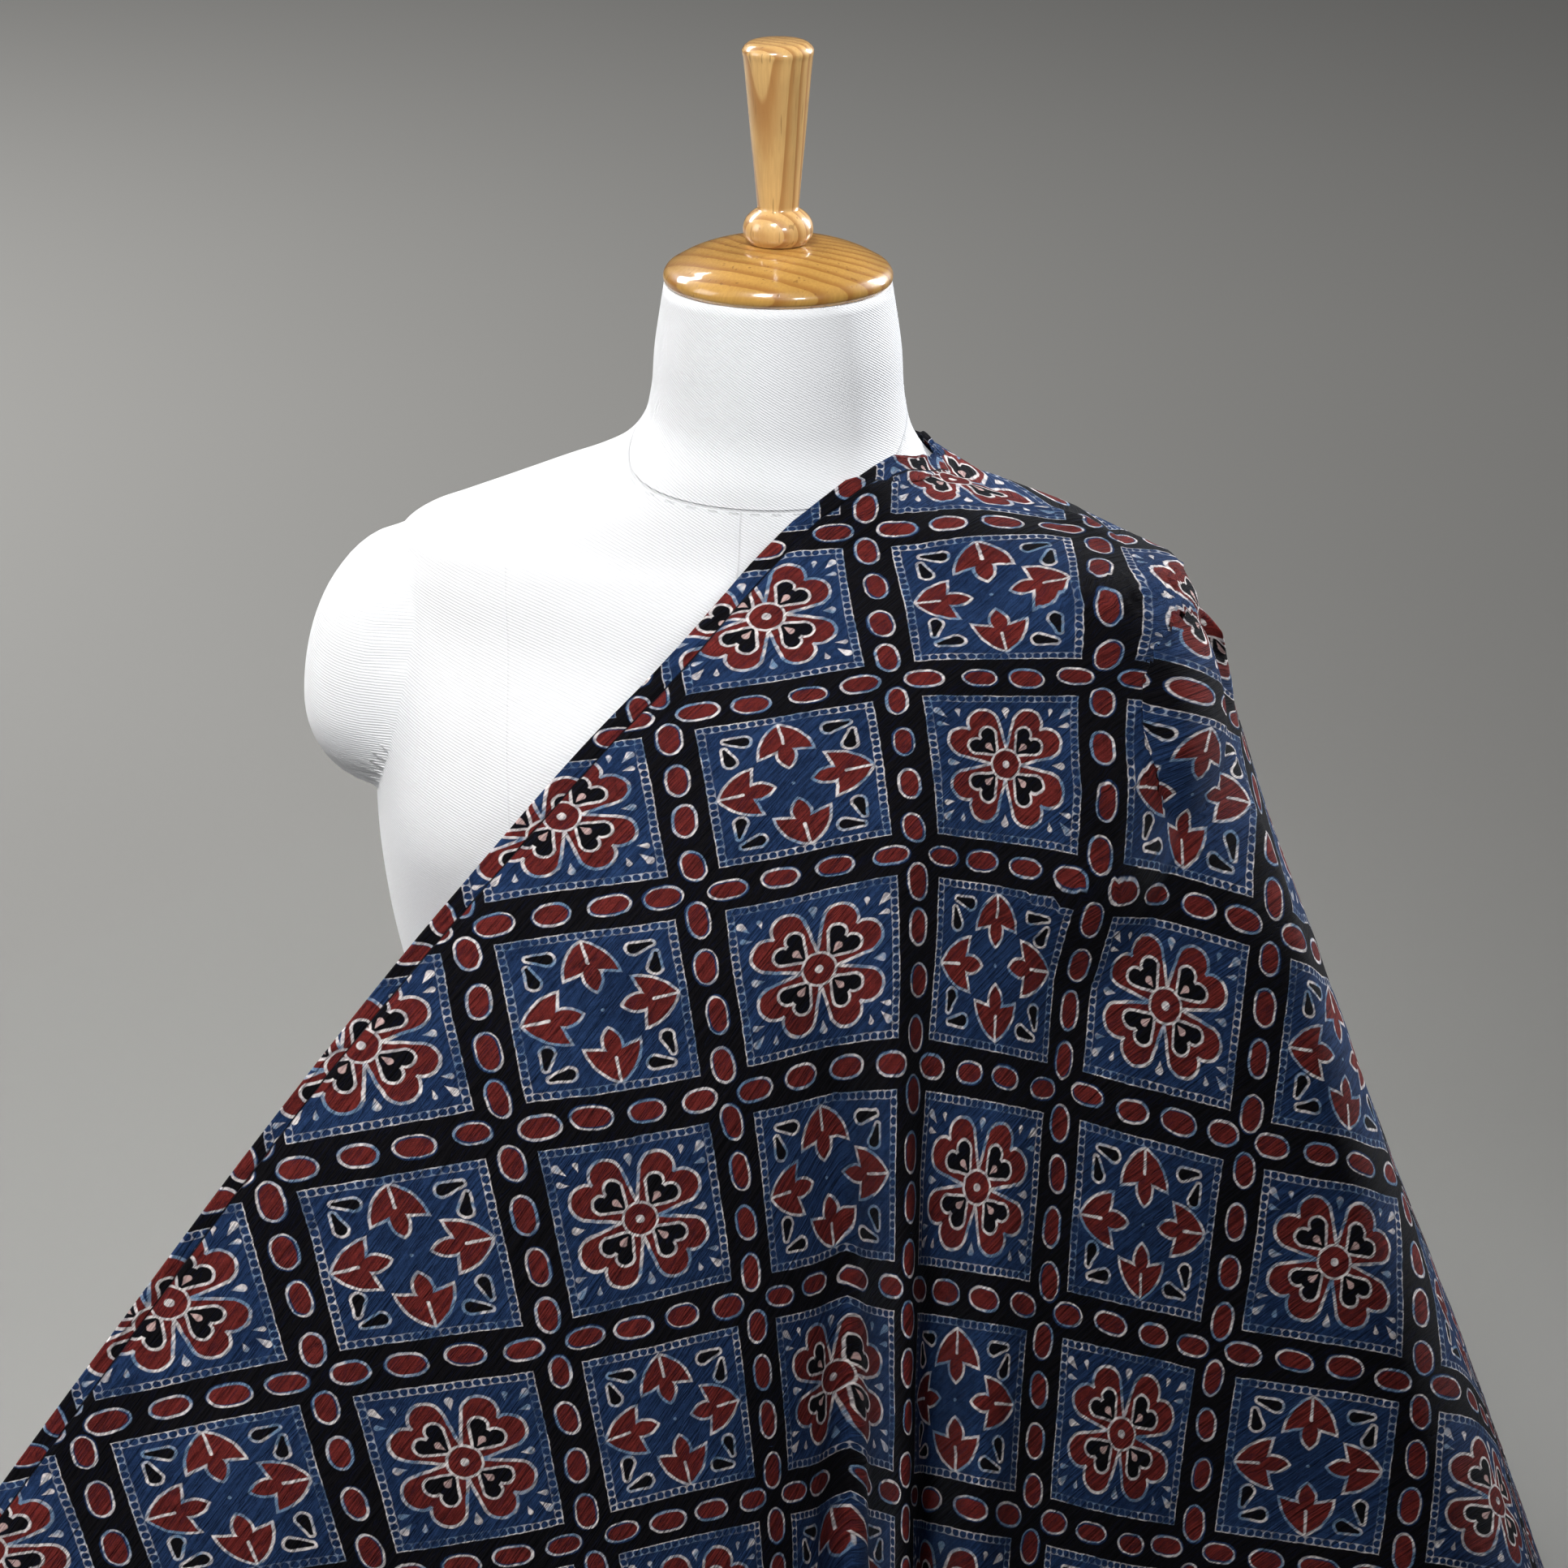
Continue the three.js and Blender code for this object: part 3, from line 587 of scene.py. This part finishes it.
class Maker:
    """Makes a material's nodes."""

    def __init__(self, name):
        self.material = bpy.data.materials.new(name)
        self.material.use_nodes = True
        self.tree = self.material.node_tree
        self.tree.nodes.clear()

    def add(self, kind, settings=None, values=(), out=0):
        node = self.tree.nodes.new(kind)
        for key, value in (settings or {}).items():
            setattr(node, key, value)
        pairs = values.items() if isinstance(values, dict) else enumerate(values)
        for key, value in pairs:
            if isinstance(value, Socket):
                self.tree.links.new(value.socket, node.inputs[key])
            elif value is not None:
                node.inputs[key].default_value = value
        if out is None:
            return node
        return Socket(self, node.outputs[out])

    def value(self, number):
        return self.add("ShaderNodeMath", {"operation": "ADD"}, (number, 0))

    def join(self, x, y, z=0.0):
        return self.add("ShaderNodeCombineXYZ", {}, (x, y, z))

    def noise(self, place, scale, detail=2.0, rough=0.5, out="Fac", twist=0.0):
        values = {"Vector": place, "Scale": scale, "Detail": detail, "Roughness": rough,
                  "Distortion": twist}
        return self.add("ShaderNodeTexNoise", {}, values, out)

    def chance(self, place):
        """Three even random numbers from 0 to 1 for each place."""
        settings = {"noise_dimensions": "3D"}
        return self.add("ShaderNodeTexWhiteNoise", settings, {"Vector": place}, "Color")

    def mix(self, factor, first, second, blend="MIX"):
        settings = {"data_type": "RGBA", "blend_type": blend}
        return self.add("ShaderNodeMix", settings, {0: factor, 6: first, 7: second}, 2)

    def layers(self, ground, *coats):
        """Lays each coat's colour over the ground where the coat's distance is under 0."""
        for distance, colour in coats:
            ground = self.mix(distance.inside(), ground, colour)
        return ground

    def bump(self, height, distance, strength=1.0, normal=None):
        values = {"Strength": strength, "Distance": distance, "Height": height, "Normal": normal}
        return self.add("ShaderNodeBump", {}, values)

    def finish(self, colour, roughness, normal=None, **numbers):
        values = {"Base Color": colour, "Roughness": roughness, "Normal": normal}
        shader = self.add("ShaderNodeBsdfPrincipled", {}, values, None)
        for key, value in numbers.items():
            shader.inputs[key.replace("_", " ")].default_value = value
        output = self.add("ShaderNodeOutputMaterial", {}, (), None)
        self.tree.links.new(shader.outputs[0], output.inputs[0])
        return self.material


def rgba(colour, share=1.0):
    """A colour, times share, with full alpha."""
    return (*(k * share for k in colour), 1.0)


def dye(*numbers):
    """A linear colour from sRGB numbers up to 255."""
    shares = [c / 255 for c in numbers]
    return rgba([c / 12.92 if c <= 0.04045 else ((c + 0.055) / 1.055) ** 2.4 for c in shares])


# The print.

def heart(place, centre, radius, tip, tip_radius, notch):
    """Distance to a heart that points at the origin along the first axis: a lobe's circle,
    and a body between the tangent from the tip to the lobe, and the notch."""
    (cp, cq), reach = centre, math.hypot(centre[0] - tip, centre[1])
    angle = math.atan2(cq, cp - tip) + math.acos((tip_radius - radius) / reach)
    n = (math.cos(angle), math.sin(angle))
    t = (n[1], -n[0])
    touch = (cp + radius * n[0], cq + radius * n[1])
    lobe = place.reach((cp, cq, 0)) - radius
    side = place.dot((n[0], n[1], 0)) - (n[0] * tip + tip_radius)
    cut = place.dot((t[0], t[1], 0)) - (t[0] * touch[0] + t[1] * touch[1])
    top = place.dot((1, 0, 0)) - notch
    return lobe.low(side.high(cut).high(top))


def drop(place, point, round_end, radius, tip=0.0):
    """Distance to a drop from its point to its round end: a line whose width grows along it."""
    ba = (round_end[0] - point[0], round_end[1] - point[1], 0)
    size = ba[0] ** 2 + ba[1] ** 2
    pa = place.vector("SUBTRACT", (point[0], point[1], 0))
    share = pa.dot((ba[0] / size, ba[1] / size, 0)).clamp()
    foot = place.maker.add("ShaderNodeVectorMath", {"operation": "SCALE"}, {0: ba, "Scale": share})
    return pa.reach(foot) - (share * (radius - tip) + tip)


def oval(along, across, long, short):
    """Rough distance to an oval between an ellipse and a bar with round ends."""
    maker = along.maker
    x, y = abs(along), abs(across)
    near = maker.join(x / long, y / short).length()
    slope = maker.join(x / (long * long), y / (short * short)).length()
    ellipse = near * (near - 1) / slope.high(0.01)
    bar = maker.join((x - (long - short)).high(0), y).length() - short
    return ellipse * 0.6 + bar * 0.4


def cotton_material(tint):
    """Ajrakh-printed cotton: squares of 100 mm with a four-heart flower or four leaves by
    turns, a border of small discs, and black bands with madder ovals. The map print counts
    squares, the map edge measures from the edge's crease, and every shape is a distance in
    millimetres from the square's centre."""
    m = Maker("ajrakh cotton")
    uv = m.add("ShaderNodeUVMap", {"uv_map": "print"})
    small = m.noise(uv, 24.0, 2.0, out="Color").vector("SUBTRACT", (0.5, 0.5, 0.5))
    large = m.noise(uv, 1.7, 1.0, out="Color").vector("SUBTRACT", (0.5, 0.5, 0.5))
    moved = uv.vector("ADD", small.vector("MULTIPLY", (0.010, 0.010, 0)))
    moved = moved.vector("ADD", large.vector("MULTIPLY", (0.030, 0.030, 0)))
    # past the edge's crease the cloth has slipped on its layer below
    from_crease = m.add("ShaderNodeUVMap", {"uv_map": "edge"}).parts()[0] * SQUARE
    strip = from_crease.step(0.2, -0.2)
    moved = moved.vector("ADD", m.join(strip * 0.085, strip * -0.085))
    u, v, _ = moved.parts()
    iu, iv = u.floor(), v.floor()
    x, y = (u - iu) * SQUARE - 50, (v - iv) * -SQUARE + 50
    flower = ((iu + iv) * 0.5).fract().over(0.25)
    lx, ly, lz = m.chance(m.join(iu, iv, 3.7)).parts()
    far, near = abs(x).high(abs(y)), abs(x).low(abs(y))

    grain = m.noise(uv, 260.0, 2.0, 0.6)
    blot = m.noise(uv, 21.0, 3.0, 0.6)
    cloud = m.noise(uv, 1.9, 2.0)
    slub_a = m.noise(uv.vector("MULTIPLY", (7, 300, 1)), 1.0, 2.0)
    slub_b = m.noise(uv.vector("MULTIPLY", (300, 7, 1)), 1.0, 2.0)
    shade = grain * 0.5 + blot * 0.6 + cloud * 0.5 + (slub_a + slub_b) * 0.45
    indigo = m.mix(shade.step(0.8, 1.75), dye(17, 33, 63), dye(48, 73, 116))
    madder = m.mix(shade.step(0.75, 1.75), dye(57, 23, 23), dye(134, 50, 46))
    black = m.mix(shade.step(0.7, 1.9), dye(8, 8, 10), dye(22, 20, 24))
    white = m.mix(blot.step(0.35, 0.62), dye(188, 181, 185), dye(244, 236, 234))
    pale = m.mix(grain.step(0.3, 0.7), dye(72, 102, 140), dye(138, 164, 190))
    worn = m.noise(uv, 6.0, 3.0, 0.65)
    tinted = m.mix(worn.step(0.44, 0.60), white, pale)

    # flower squares
    rx = x + (lx - 0.5) * 1.2
    ry = y + (ly - 0.5) * 1.2
    fx, fy = abs(rx), abs(ry)
    diagonal = m.join((fx + fy) * 0.70711, abs(fy - fx) * 0.70711)
    big = heart(diagonal, (24.0, 7.4), 7.2, 8.0, 5.3, 26.4)
    inner = heart(diagonal, (18.2, 4.5), 3.6, 9.5, 1.2, 18.9)
    centre = m.join(rx, ry).length()
    folded = m.join(fx, fy)
    sided = m.join(fx.high(fy), fx.low(fy))
    seeds = drop(sided, (25.2, 0), (29.6, 0), 1.9)
    for point, end, radius in (((29.2, 25.3), (33.1, 29.2), 1.9), ((23.6, 26.4), (24.2, 29.6), 1.3),
                               ((28.7, 20.9), (32.8, 21.6), 1.4)):
        seeds = seeds.low(drop(folded, point, end, radius))
    pip = drop(diagonal, (9.8, 0), (13.6, 0), 1.75)
    blossom = m.layers(indigo, (big - 1.5, tinted), (big, madder), (inner - 1.3, white),
                       (inner, black), (pip, dye(204, 172, 168)), (centre - 8.5, white),
                       (centre - 7.3, madder), (centre - 2.0, white), (seeds, tinted))

    # leaf squares, their block cut a little turned
    turn = math.radians(4.5)
    tx = x * math.cos(turn) + y * math.sin(turn)
    ty = y * math.cos(turn) - x * math.sin(turn)
    gx, gy = abs(tx + (ly - 0.5) * 1.2), abs(ty + (lz - 0.5) * 1.2)
    leafwise = m.join(gx.high(gy), gx.low(gy))
    dome = leafwise.reach((15, -9, 0)) - 21
    ears = leafwise.dot((-0.974, -0.225, 0)) + 19.4
    leaf = dome.high(ears.low(leafwise.reach((16.3, -5, 0)) - 8.7))
    vein = drop(leafwise, (34, 0), (23, 0), 0.75, 0.6)
    folded = m.join(abs(x + (ly - 0.5) * 1.2), abs(y + (lz - 0.5) * 1.2))
    tears = drop(folded, (26.8, 29.2), (18.6, 27.5), 2.7, 0.8)
    tears = tears.low(drop(folded, (27.9, 24.0), (26.2, 16.8), 2.7, 0.8))
    leaves = m.layers(indigo, (leaf - 1.3, tinted), (leaf, madder), (vein, white),
                      (tears - 1.3, tinted), (tears, black), (folded.length() - 0.8, pale))
    square = m.mix(flower, leaves, blossom)

    # the border of small discs
    disc = m.join(near % 3.95 - 1.975, far - 36.9).length() - 1.72
    faded = m.noise(uv, 2.6, 2.0).step(0.34, 0.62)
    lace = m.mix((faded * 0.75 + blot.step(0.35, 0.6) * 0.35).clamp(), white, pale)
    lace = m.mix((faded * worn.step(0.42, 0.58) * 0.75).clamp(), lace, indigo)
    lace = m.mix(disc.inside(0.25), lace, indigo)
    lace = m.mix((far - 38.35).step(-0.2, 0.2) * worn.step(0.62, 0.5, 0.35, 1.0), lace, tinted)
    square = m.mix((far - 35.0).step(-0.3, 0.3), square, lace)

    # black bands with ovals; each oval has its own place, size and slip
    upright = abs(x).over(abs(y))
    four_u, four_v = (u * 4).floor() + 0.37, (v * 4).floor() + 0.37
    oval_id = m.join(upright.pick((u + 0.5).floor(), four_u),
                     upright.pick(four_v, (v + 0.5).floor()), 9.1)
    ox, oy, oz = m.chance(oval_id).parts()
    sx, sy, sz = m.chance(oval_id.vector("ADD", (0.3, 0.7, 5.0))).parts()
    run = upright.pick(y, x)
    side = upright.pick(x - x.sign() * 50, y - y.sign() * 50)
    run = run - run.sign() * abs(run).over(24).pick(36, 12)
    run = run + (ox - 0.5) * 2.0
    side = side + (oy - 0.5) * 1.6 + run * (sz - 0.5) * 0.16
    long, short = (oz - 0.5) * 1.6 + 9.2, (sx - 0.5) * 0.9 + 5.8
    ring = oval(run, side, long, short)
    slipped = oval(run + (sx - 0.5) * 1.4, side + (sy - 0.5) * 1.6, long, short)
    band = m.mix((ring + 1.4).inside(), tinted, indigo)
    band = m.mix((slipped + 1.5).inside(), band, madder)
    band = m.mix(ring.step(-0.3, 0.3), band, indigo)
    band = m.mix((slipped - 0.1).step(-0.3, 0.3), band, black)
    colour = m.mix((far - 38.8).step(-0.25, 0.25), square, band)

    # thread, fine creases, and painted shade along the fine creases and along the edge's crease
    ua, vb, _ = uv.parts()
    slant = m.join((ua + vb) * 26, (ua - vb) * 1.6)
    crease = m.noise(slant, 1.0, 3.0, 0.55, twist=0.3)
    line = abs(crease - 0.5).step(0.0, 0.035)
    # painted shade: thin dark navy lines along the fine creases
    colour = m.mix(line.step(0.0, 1.0, 0.3, 0.0), colour, dye(16, 22, 48))
    # painted shade: a dark line along the edge's pressed crease, and a softer shade over the first 3 mm
    # on the side away from the edge; the same mask also raises the bump
    fold = abs(from_crease).step(0.1, 0.75) * from_crease.step(0.0, 3.0, 0.72, 1.0).high(strip)
    colour = m.mix(fold.step(0.0, 1.0, 0.88, 0.0), colour, dye(10, 11, 18))
    threads = 1571
    weave = (ua * threads).sine() * (vb * threads).sine()
    height = weave * 0.10 + slub_a * 0.35 + slub_b * 0.35 + grain * 0.3
    normal = m.bump(height, 0.00035, 0.8)
    normal = m.bump(crease + line * 0.15 + fold * 0.12, 0.0038, 0.8, normal)
    colour = m.mix(1.0, colour, rgba(tint), "MULTIPLY")
    rough = shade.step(0.4, 2.0, 0.92, 0.80)
    return m.finish(colour, rough, normal, Specular_IOR_Level=0.06, Sheen_Weight=0.03,
                    Sheen_Roughness=0.4, Sheen_Tint=(0.75, 0.85, 1.0, 1.0))


def cover_material(colour):
    """White cotton twill: fine ribs rising to the right, a neck seam on a slanting plane
    with its stitches, and faint seams down the front and over the shoulders."""
    m = Maker("white twill")
    place = m.add("ShaderNodeTexCoord", {}, (), "Object")
    c, s = math.cos(FORM_TURN), math.sin(FORM_TURN)
    wx, wy, wz = place.parts()
    x = (wx * c + wy * s) * 1000
    y = (wy * c - wx * s) * 1000
    z = wz * 1000
    angle = m.add("ShaderNodeMath", {"operation": "ARCTAN2"}, (y, x))
    run = angle * 62
    twill = ((run * 0.45 + z * 0.89) * 5.7).sine()
    grain = m.noise(place, 900.0, 2.0)
    soft = m.noise(place, 9.0, 2.0)
    from_neck = z - (y * 0.44 + 668)
    neck_seam = abs(from_neck).step(0.25, 0.8)
    stitch = (angle * 40).sine().over(0.1) * abs(from_neck + 1.5).step(0.7, 0.3)
    front = y.step(-20, -30) * abs(x + 4).step(0.7, 0.25) * z.step(645, 640)
    prince = abs(abs(x) - (z - 480) * 0.13 - 96).step(0.7, 0.25) * z.step(640, 630) * 0.6
    seams = neck_seam * (1 - front * 0.5) * (1 - prince * 0.5)
    base = m.mix(soft.step(0.3, 0.7), rgba(colour, 0.975), rgba(colour))
    base = m.mix(seams.step(0.0, 1.0, 0.5, 0.0), base, rgba(colour, 0.55))
    base = m.mix(stitch * 0.35, base, rgba(colour, 0.6))
    height = twill * 0.5 + grain * 0.8
    normal = m.bump(height, 0.00018, 0.9)
    normal = m.bump(seams - stitch * 0.3, 0.0006, 0.8, normal)
    return m.finish(base, 0.86, normal, Specular_IOR_Level=0.25, Sheen_Weight=0.15,
                    Sheen_Roughness=0.5)


def wood_material(colour, name, centre, tilt, ring_width):
    """Varnished pale hardwood: growth rings round a leaning axis off the piece, drawn out
    along the grain, with fine dark pores and a clear gloss coat."""
    m = Maker(name)
    place = m.add("ShaderNodeTexCoord", {}, (), "Object")
    turned = m.add("ShaderNodeMapping", {"vector_type": "TEXTURE"},
                   {"Vector": place, "Location": centre, "Rotation": tilt})
    x, y, _ = turned.parts()
    slow = m.noise(turned.vector("MULTIPLY", (1, 1, 0.25)), 22.0, 2.0)
    radius = m.join(x, y).length() + (slow - 0.5) * 0.006
    phase = (radius / ring_width).fract()
    late = phase.step(0.35, 0.93) * phase.step(1.0, 0.93)
    fibre = m.noise(turned.vector("MULTIPLY", (1, 1, 0.045)), 900.0, 3.0, 0.6)
    pores = m.noise(turned.vector("MULTIPLY", (1, 1, 0.06)), 520.0, 1.0).step(0.66, 0.74)
    patch = m.noise(place, 38.0, 2.0)
    light = tuple(min(1, k * 1.18) for k in colour)
    dark = (colour[0] * 0.62, colour[1] * 0.42, colour[2] * 0.30)
    base = m.mix(patch.step(0.3, 0.7), rgba(colour), rgba(light))
    base = m.mix(late * 0.75, base, rgba(dark))
    base = m.mix(fibre.step(0.35, 0.7, 0.22, 0.0), base, rgba(dark))
    base = m.mix(pores * 0.45, base, rgba(dark, 0.5))
    normal = m.bump(fibre * 0.5 - pores, 0.00008, 0.5)
    return m.finish(base, fibre.step(0.3, 0.7, 0.42, 0.32), normal, Specular_IOR_Level=0.5,
                    Coat_Weight=0.9, Coat_Roughness=0.07)


def stand_material(colour):
    """Satin black paint with a slight orange-peel and a faintly clouded tone."""
    m = Maker("satin black paint")
    place = m.add("ShaderNodeTexCoord", {}, (), "Object")
    peel = m.noise(place, 420.0, 2.0)
    cloud = m.noise(place, 25.0, 3.0)
    base = m.mix(cloud.step(0.35, 0.7), rgba(colour), rgba(colour, 1.5))
    return m.finish(base, cloud.step(0.3, 0.7, 0.38, 0.5), m.bump(peel, 0.00025, 0.5))


def floor_material(colour):
    """Matt pale floor, very slightly clouded."""
    m = Maker("pale floor")
    place = m.add("ShaderNodeTexCoord", {}, (), "Object")
    cloud = m.noise(place, 0.8, 2.0)
    base = m.mix(cloud.step(0.2, 0.8), rgba(colour, 0.98), rgba(colour))
    return m.finish(base, 0.9)


def dress(obj, material, slot=None, *nodes):
    """Gives a piece its material, makes it ride on the one body when a slot is named, and hides the CAD
    nodes it stands for.
    """
    obj.data.materials.clear()
    obj.data.materials.append(material)
    if slot:
        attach(obj, "root")
    if nodes:
        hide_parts(*nodes)


# What a user may change.

def colour_setting(name, about, default):
    return FloatVectorProperty(name=name, description=about, default=default, subtype="COLOR",
                               min=0, max=1)


def light_setting(name, about, default):
    return FloatProperty(name=name, description=about, default=default, unit="POWER")


class DrapeSettings(bpy.types.PropertyGroup):
    columns: IntProperty(name="Columns", description="Strips from the edge to the side line",
                         default=196, min=60)
    rows: IntProperty(name="Rows", description="Bands from the crest to the hem", default=106, min=40)
    tuck: FloatProperty(name="Tuck depth", description="How deep the sharp fold is pressed in, in mm",
                        default=13.0, min=0, max=30)
    wrinkle: FloatProperty(name="Wrinkles", description="Height of the fine creases, in mm",
                           default=0.55, min=0, max=3)
    under: FloatProperty(name="Turned under", description="Width of the turned-under edge, in mm",
                         default=20.0, min=5, max=40)
    bend: FloatProperty(name="Edge bend", description="Radius of the turned edge, in mm",
                        default=0.9, min=0.5, max=2)
    thickness: FloatProperty(name="Thickness", description="Thickness of the cotton", default=0.0006,
                             min=0.0002, max=0.002, unit="LENGTH")
    tint: colour_setting("Tint", "Colour that the print is multiplied by", (1, 1, 1))


class FormSettings(bpy.types.PropertyGroup):
    sides: IntProperty(name="Sides", description="Points round the form", default=288, min=48)
    cover: colour_setting("Cover", "Colour of the twill cover", (0.80, 0.81, 0.83))
    wood: colour_setting("Wood", "Colour of the pale wood", (0.66, 0.41, 0.155))
    paint: colour_setting("Paint", "Colour of the base", (0.028, 0.028, 0.031))


class StageSettings(bpy.types.PropertyGroup):
    floor: colour_setting("Floor", "Colour of the floor", (0.26, 0.258, 0.251))
    key: light_setting("Key light", "Power of the light above on the left", 4.8)
    side: light_setting("Side light", "Power of the light on the left", 4.8)
    fill: light_setting("Fill light", "Power of the light in front", 0.7)
    rim: light_setting("Rim light", "Power of the light behind on the right", 4.5)
    wash: light_setting("Floor light", "Power of the light on the floor behind", 158.0)
    sky: FloatProperty(name="Room light", description="Strength of the even room light", default=0.045)


# One operator for each piece or group.

class DRAPE_OT_cloth(bpy.types.Operator):
    """Makes the printed cotton draped over the shoulder."""
    bl_idname = "drape.cloth"
    bl_label = "Draped cloth"

    def execute(self, context):
        want = context.scene.drape
        points, faces, prints, edges = cloth_surface(want.columns, want.rows, want.tuck,
                                                     want.wrinkle, want.under, want.bend)
        obj = put_mesh("draped_cotton", points, faces, {"print": prints, "edge": edges})
        dress(obj, cotton_material(want.tint), "ajrakh_cotton", "cloth")
        wall = obj.modifiers.new("thickness", "SOLIDIFY")
        wall.thickness = want.thickness
        wall.offset = 0
        return {"FINISHED"}


class DRAPE_OT_form(bpy.types.Operator):
    """Makes the padded form with its arm stumps."""
    bl_idname = "drape.form"
    bl_label = "Dress form"

    def execute(self, context):
        want = context.scene.form
        points, faces = form_surface(want.sides)
        obj = put_mesh("dress_form", points, faces)
        dress(obj, cover_material(list(want.cover)), "form_cover", "form")
        return {"FINISHED"}


class DRAPE_OT_woodwork(bpy.types.Operator):
    """Makes the turned neck cap and finial."""
    bl_idname = "drape.woodwork"
    bl_label = "Neck cap and finial"

    def execute(self, context):
        want = context.scene.form
        colour = list(want.wood)
        golden = [colour[0] * 0.76, colour[1] * 0.68, colour[2] * 0.42]
        profile = rounded(CAP_PROFILE, 0.8)
        cap = put_mesh("turned_cap", *revolve(profile, CAP_BASE, 128))
        dress(cap, wood_material(golden, "cap wood", (-0.005, 0.02, 0.655), (0.0, 0.35, 0.25), 0.0062),
              "turned_wood", "neck_cap")
        ball, grip = rounded(BALL_PROFILE, 0.6), rounded(GRIP_PROFILE, 1.0)
        finial = put_mesh("turned_finial", *revolve(np.concatenate([ball, grip]), FINIAL_BASE, 96))
        dress(finial, wood_material(colour, "finial wood", (0.03, 0.05, 0.8), (0.03, 0.02, 0.0), 0.0045),
              "turned_wood", "finial")
        return {"FINISHED"}


class DRAPE_OT_base(bpy.types.Operator):
    """Makes the flat oval base."""
    bl_idname = "drape.base"
    bl_label = "Base"

    def execute(self, context):
        want = context.scene.form
        turns = np.linspace(0.15, np.pi / 2, 8)
        profile = BASE_PROFILE + [(114.5 + BASE_EDGE * math.cos(t), 10.5 + BASE_EDGE * math.sin(t))
                                  for t in turns]
        base = put_mesh("oval_base", *revolve(profile, 0, 128, BASE_SQUASH, FORM_TURN))
        dress(base, stand_material(list(want.paint)), "stand", "base")
        return {"FINISHED"}


def soft_light(name, power, place, target, size, spread, colour):
    """A plain rectangular soft light, turned from its place towards its target."""
    data = bpy.data.lights.new(name, "AREA")
    data.spread = math.radians(spread)
    data.shape = "RECTANGLE"
    data.size, data.size_y = size
    data.energy = power
    data.color = colour
    light = bpy.data.objects.new(name, data)
    light.location = place
    light.rotation_euler = (Vector(target) - Vector(place)).to_track_quat("-Z", "Y").to_euler()
    bpy.context.scene.collection.objects.link(light)


class DRAPE_OT_stage(bpy.types.Operator):
    """Makes the floor, the lights and the camera."""
    bl_idname = "drape.stage"
    bl_label = "Stage"

    def execute(self, context):
        want = context.scene.stage_look
        half = FLOOR_HALF
        corners = [(-half, -half, 0), (half, -half, 0), (half, half, 0), (-half, half, 0)]
        floor = put_mesh("floor", corners, [(0, 1, 2, 3)], smooth=False)
        dress(floor, floor_material(list(want.floor)))
        warm, cool = (1.0, 0.995, 0.985), (0.97, 0.985, 1.0)
        soft_light("key", want.key, (-0.85, -1.75, 2.9), (-0.37, -0.1, 0.68), (1.2, 1.2), 25, warm)
        soft_light("side", want.side, (-2.3, -0.4, 1.5), (-0.1, 0, 0.55), (1.0, 1.4), 90, warm)
        soft_light("fill", want.fill, (0.9, -2.2, 1.9), (0.0, 0, 0.86), (0.5, 0.5), 24, cool)
        soft_light("rim", want.rim, (1.5, 1.1, 1.25), (0.05, 0, 0.72), (0.25, 1.3), 42, cool)
        soft_light("wash", want.wash, (-2.2, 2.1, 2.4), (-0.9, 3.3, 0), (1.8, 1.8), 180,
                   (1.0, 0.99, 0.97))
        world = bpy.data.worlds.new("room")
        world.use_nodes = True
        background = world.node_tree.nodes["Background"]
        background.inputs[0].default_value = (0.93, 0.95, 1.0, 1.0)
        background.inputs[1].default_value = want.sky
        context.scene.world = world
        context.scene.view_settings.view_transform = "Standard"
        data = bpy.data.cameras.new("camera")
        data.lens = CAMERA_LENS
        data.sensor_width = 36
        data.clip_end = 100
        camera = bpy.data.objects.new("camera", data)
        camera.location = CAMERA_PLACE
        camera.rotation_euler = (CAMERA_TILT, 0, 0)
        context.scene.collection.objects.link(camera)
        context.scene.camera = camera
        return {"FINISHED"}


class DRAPE_PT_panel(bpy.types.Panel):
    """Lists the pieces of the drape."""
    bl_idname = "DRAPE_PT_panel"
    bl_label = "Drape"
    bl_space_type = "VIEW_3D"
    bl_region_type = "UI"
    bl_category = "Drape"

    def draw(self, context):
        for title in SETTINGS:
            group = getattr(context.scene, title)
            box = self.layout.box()
            for name in group.__annotations__:
                box.prop(group, name)
        for operator in OPERATORS:
            self.layout.operator(operator.bl_idname)


SETTINGS = {"drape": DrapeSettings, "form": FormSettings, "stage_look": StageSettings}
OPERATORS = (DRAPE_OT_form, DRAPE_OT_cloth, DRAPE_OT_woodwork, DRAPE_OT_base, DRAPE_OT_stage)
CLASSES = (*SETTINGS.values(), *OPERATORS, DRAPE_PT_panel)


def register():
    for cls in CLASSES:
        bpy.utils.register_class(cls)
    for title, group in SETTINGS.items():
        setattr(bpy.types.Scene, title, PointerProperty(type=group))


def unregister():
    for title in SETTINGS:
        delattr(bpy.types.Scene, title)
    for cls in reversed(CLASSES):
        bpy.utils.unregister_class(cls)


def main():
    register()
    bpy.ops.drape.form()
    bpy.ops.drape.cloth()
    bpy.ops.drape.woodwork()
    bpy.ops.drape.base()
    bpy.ops.drape.stage()


if __name__ == "__main__":
    main()
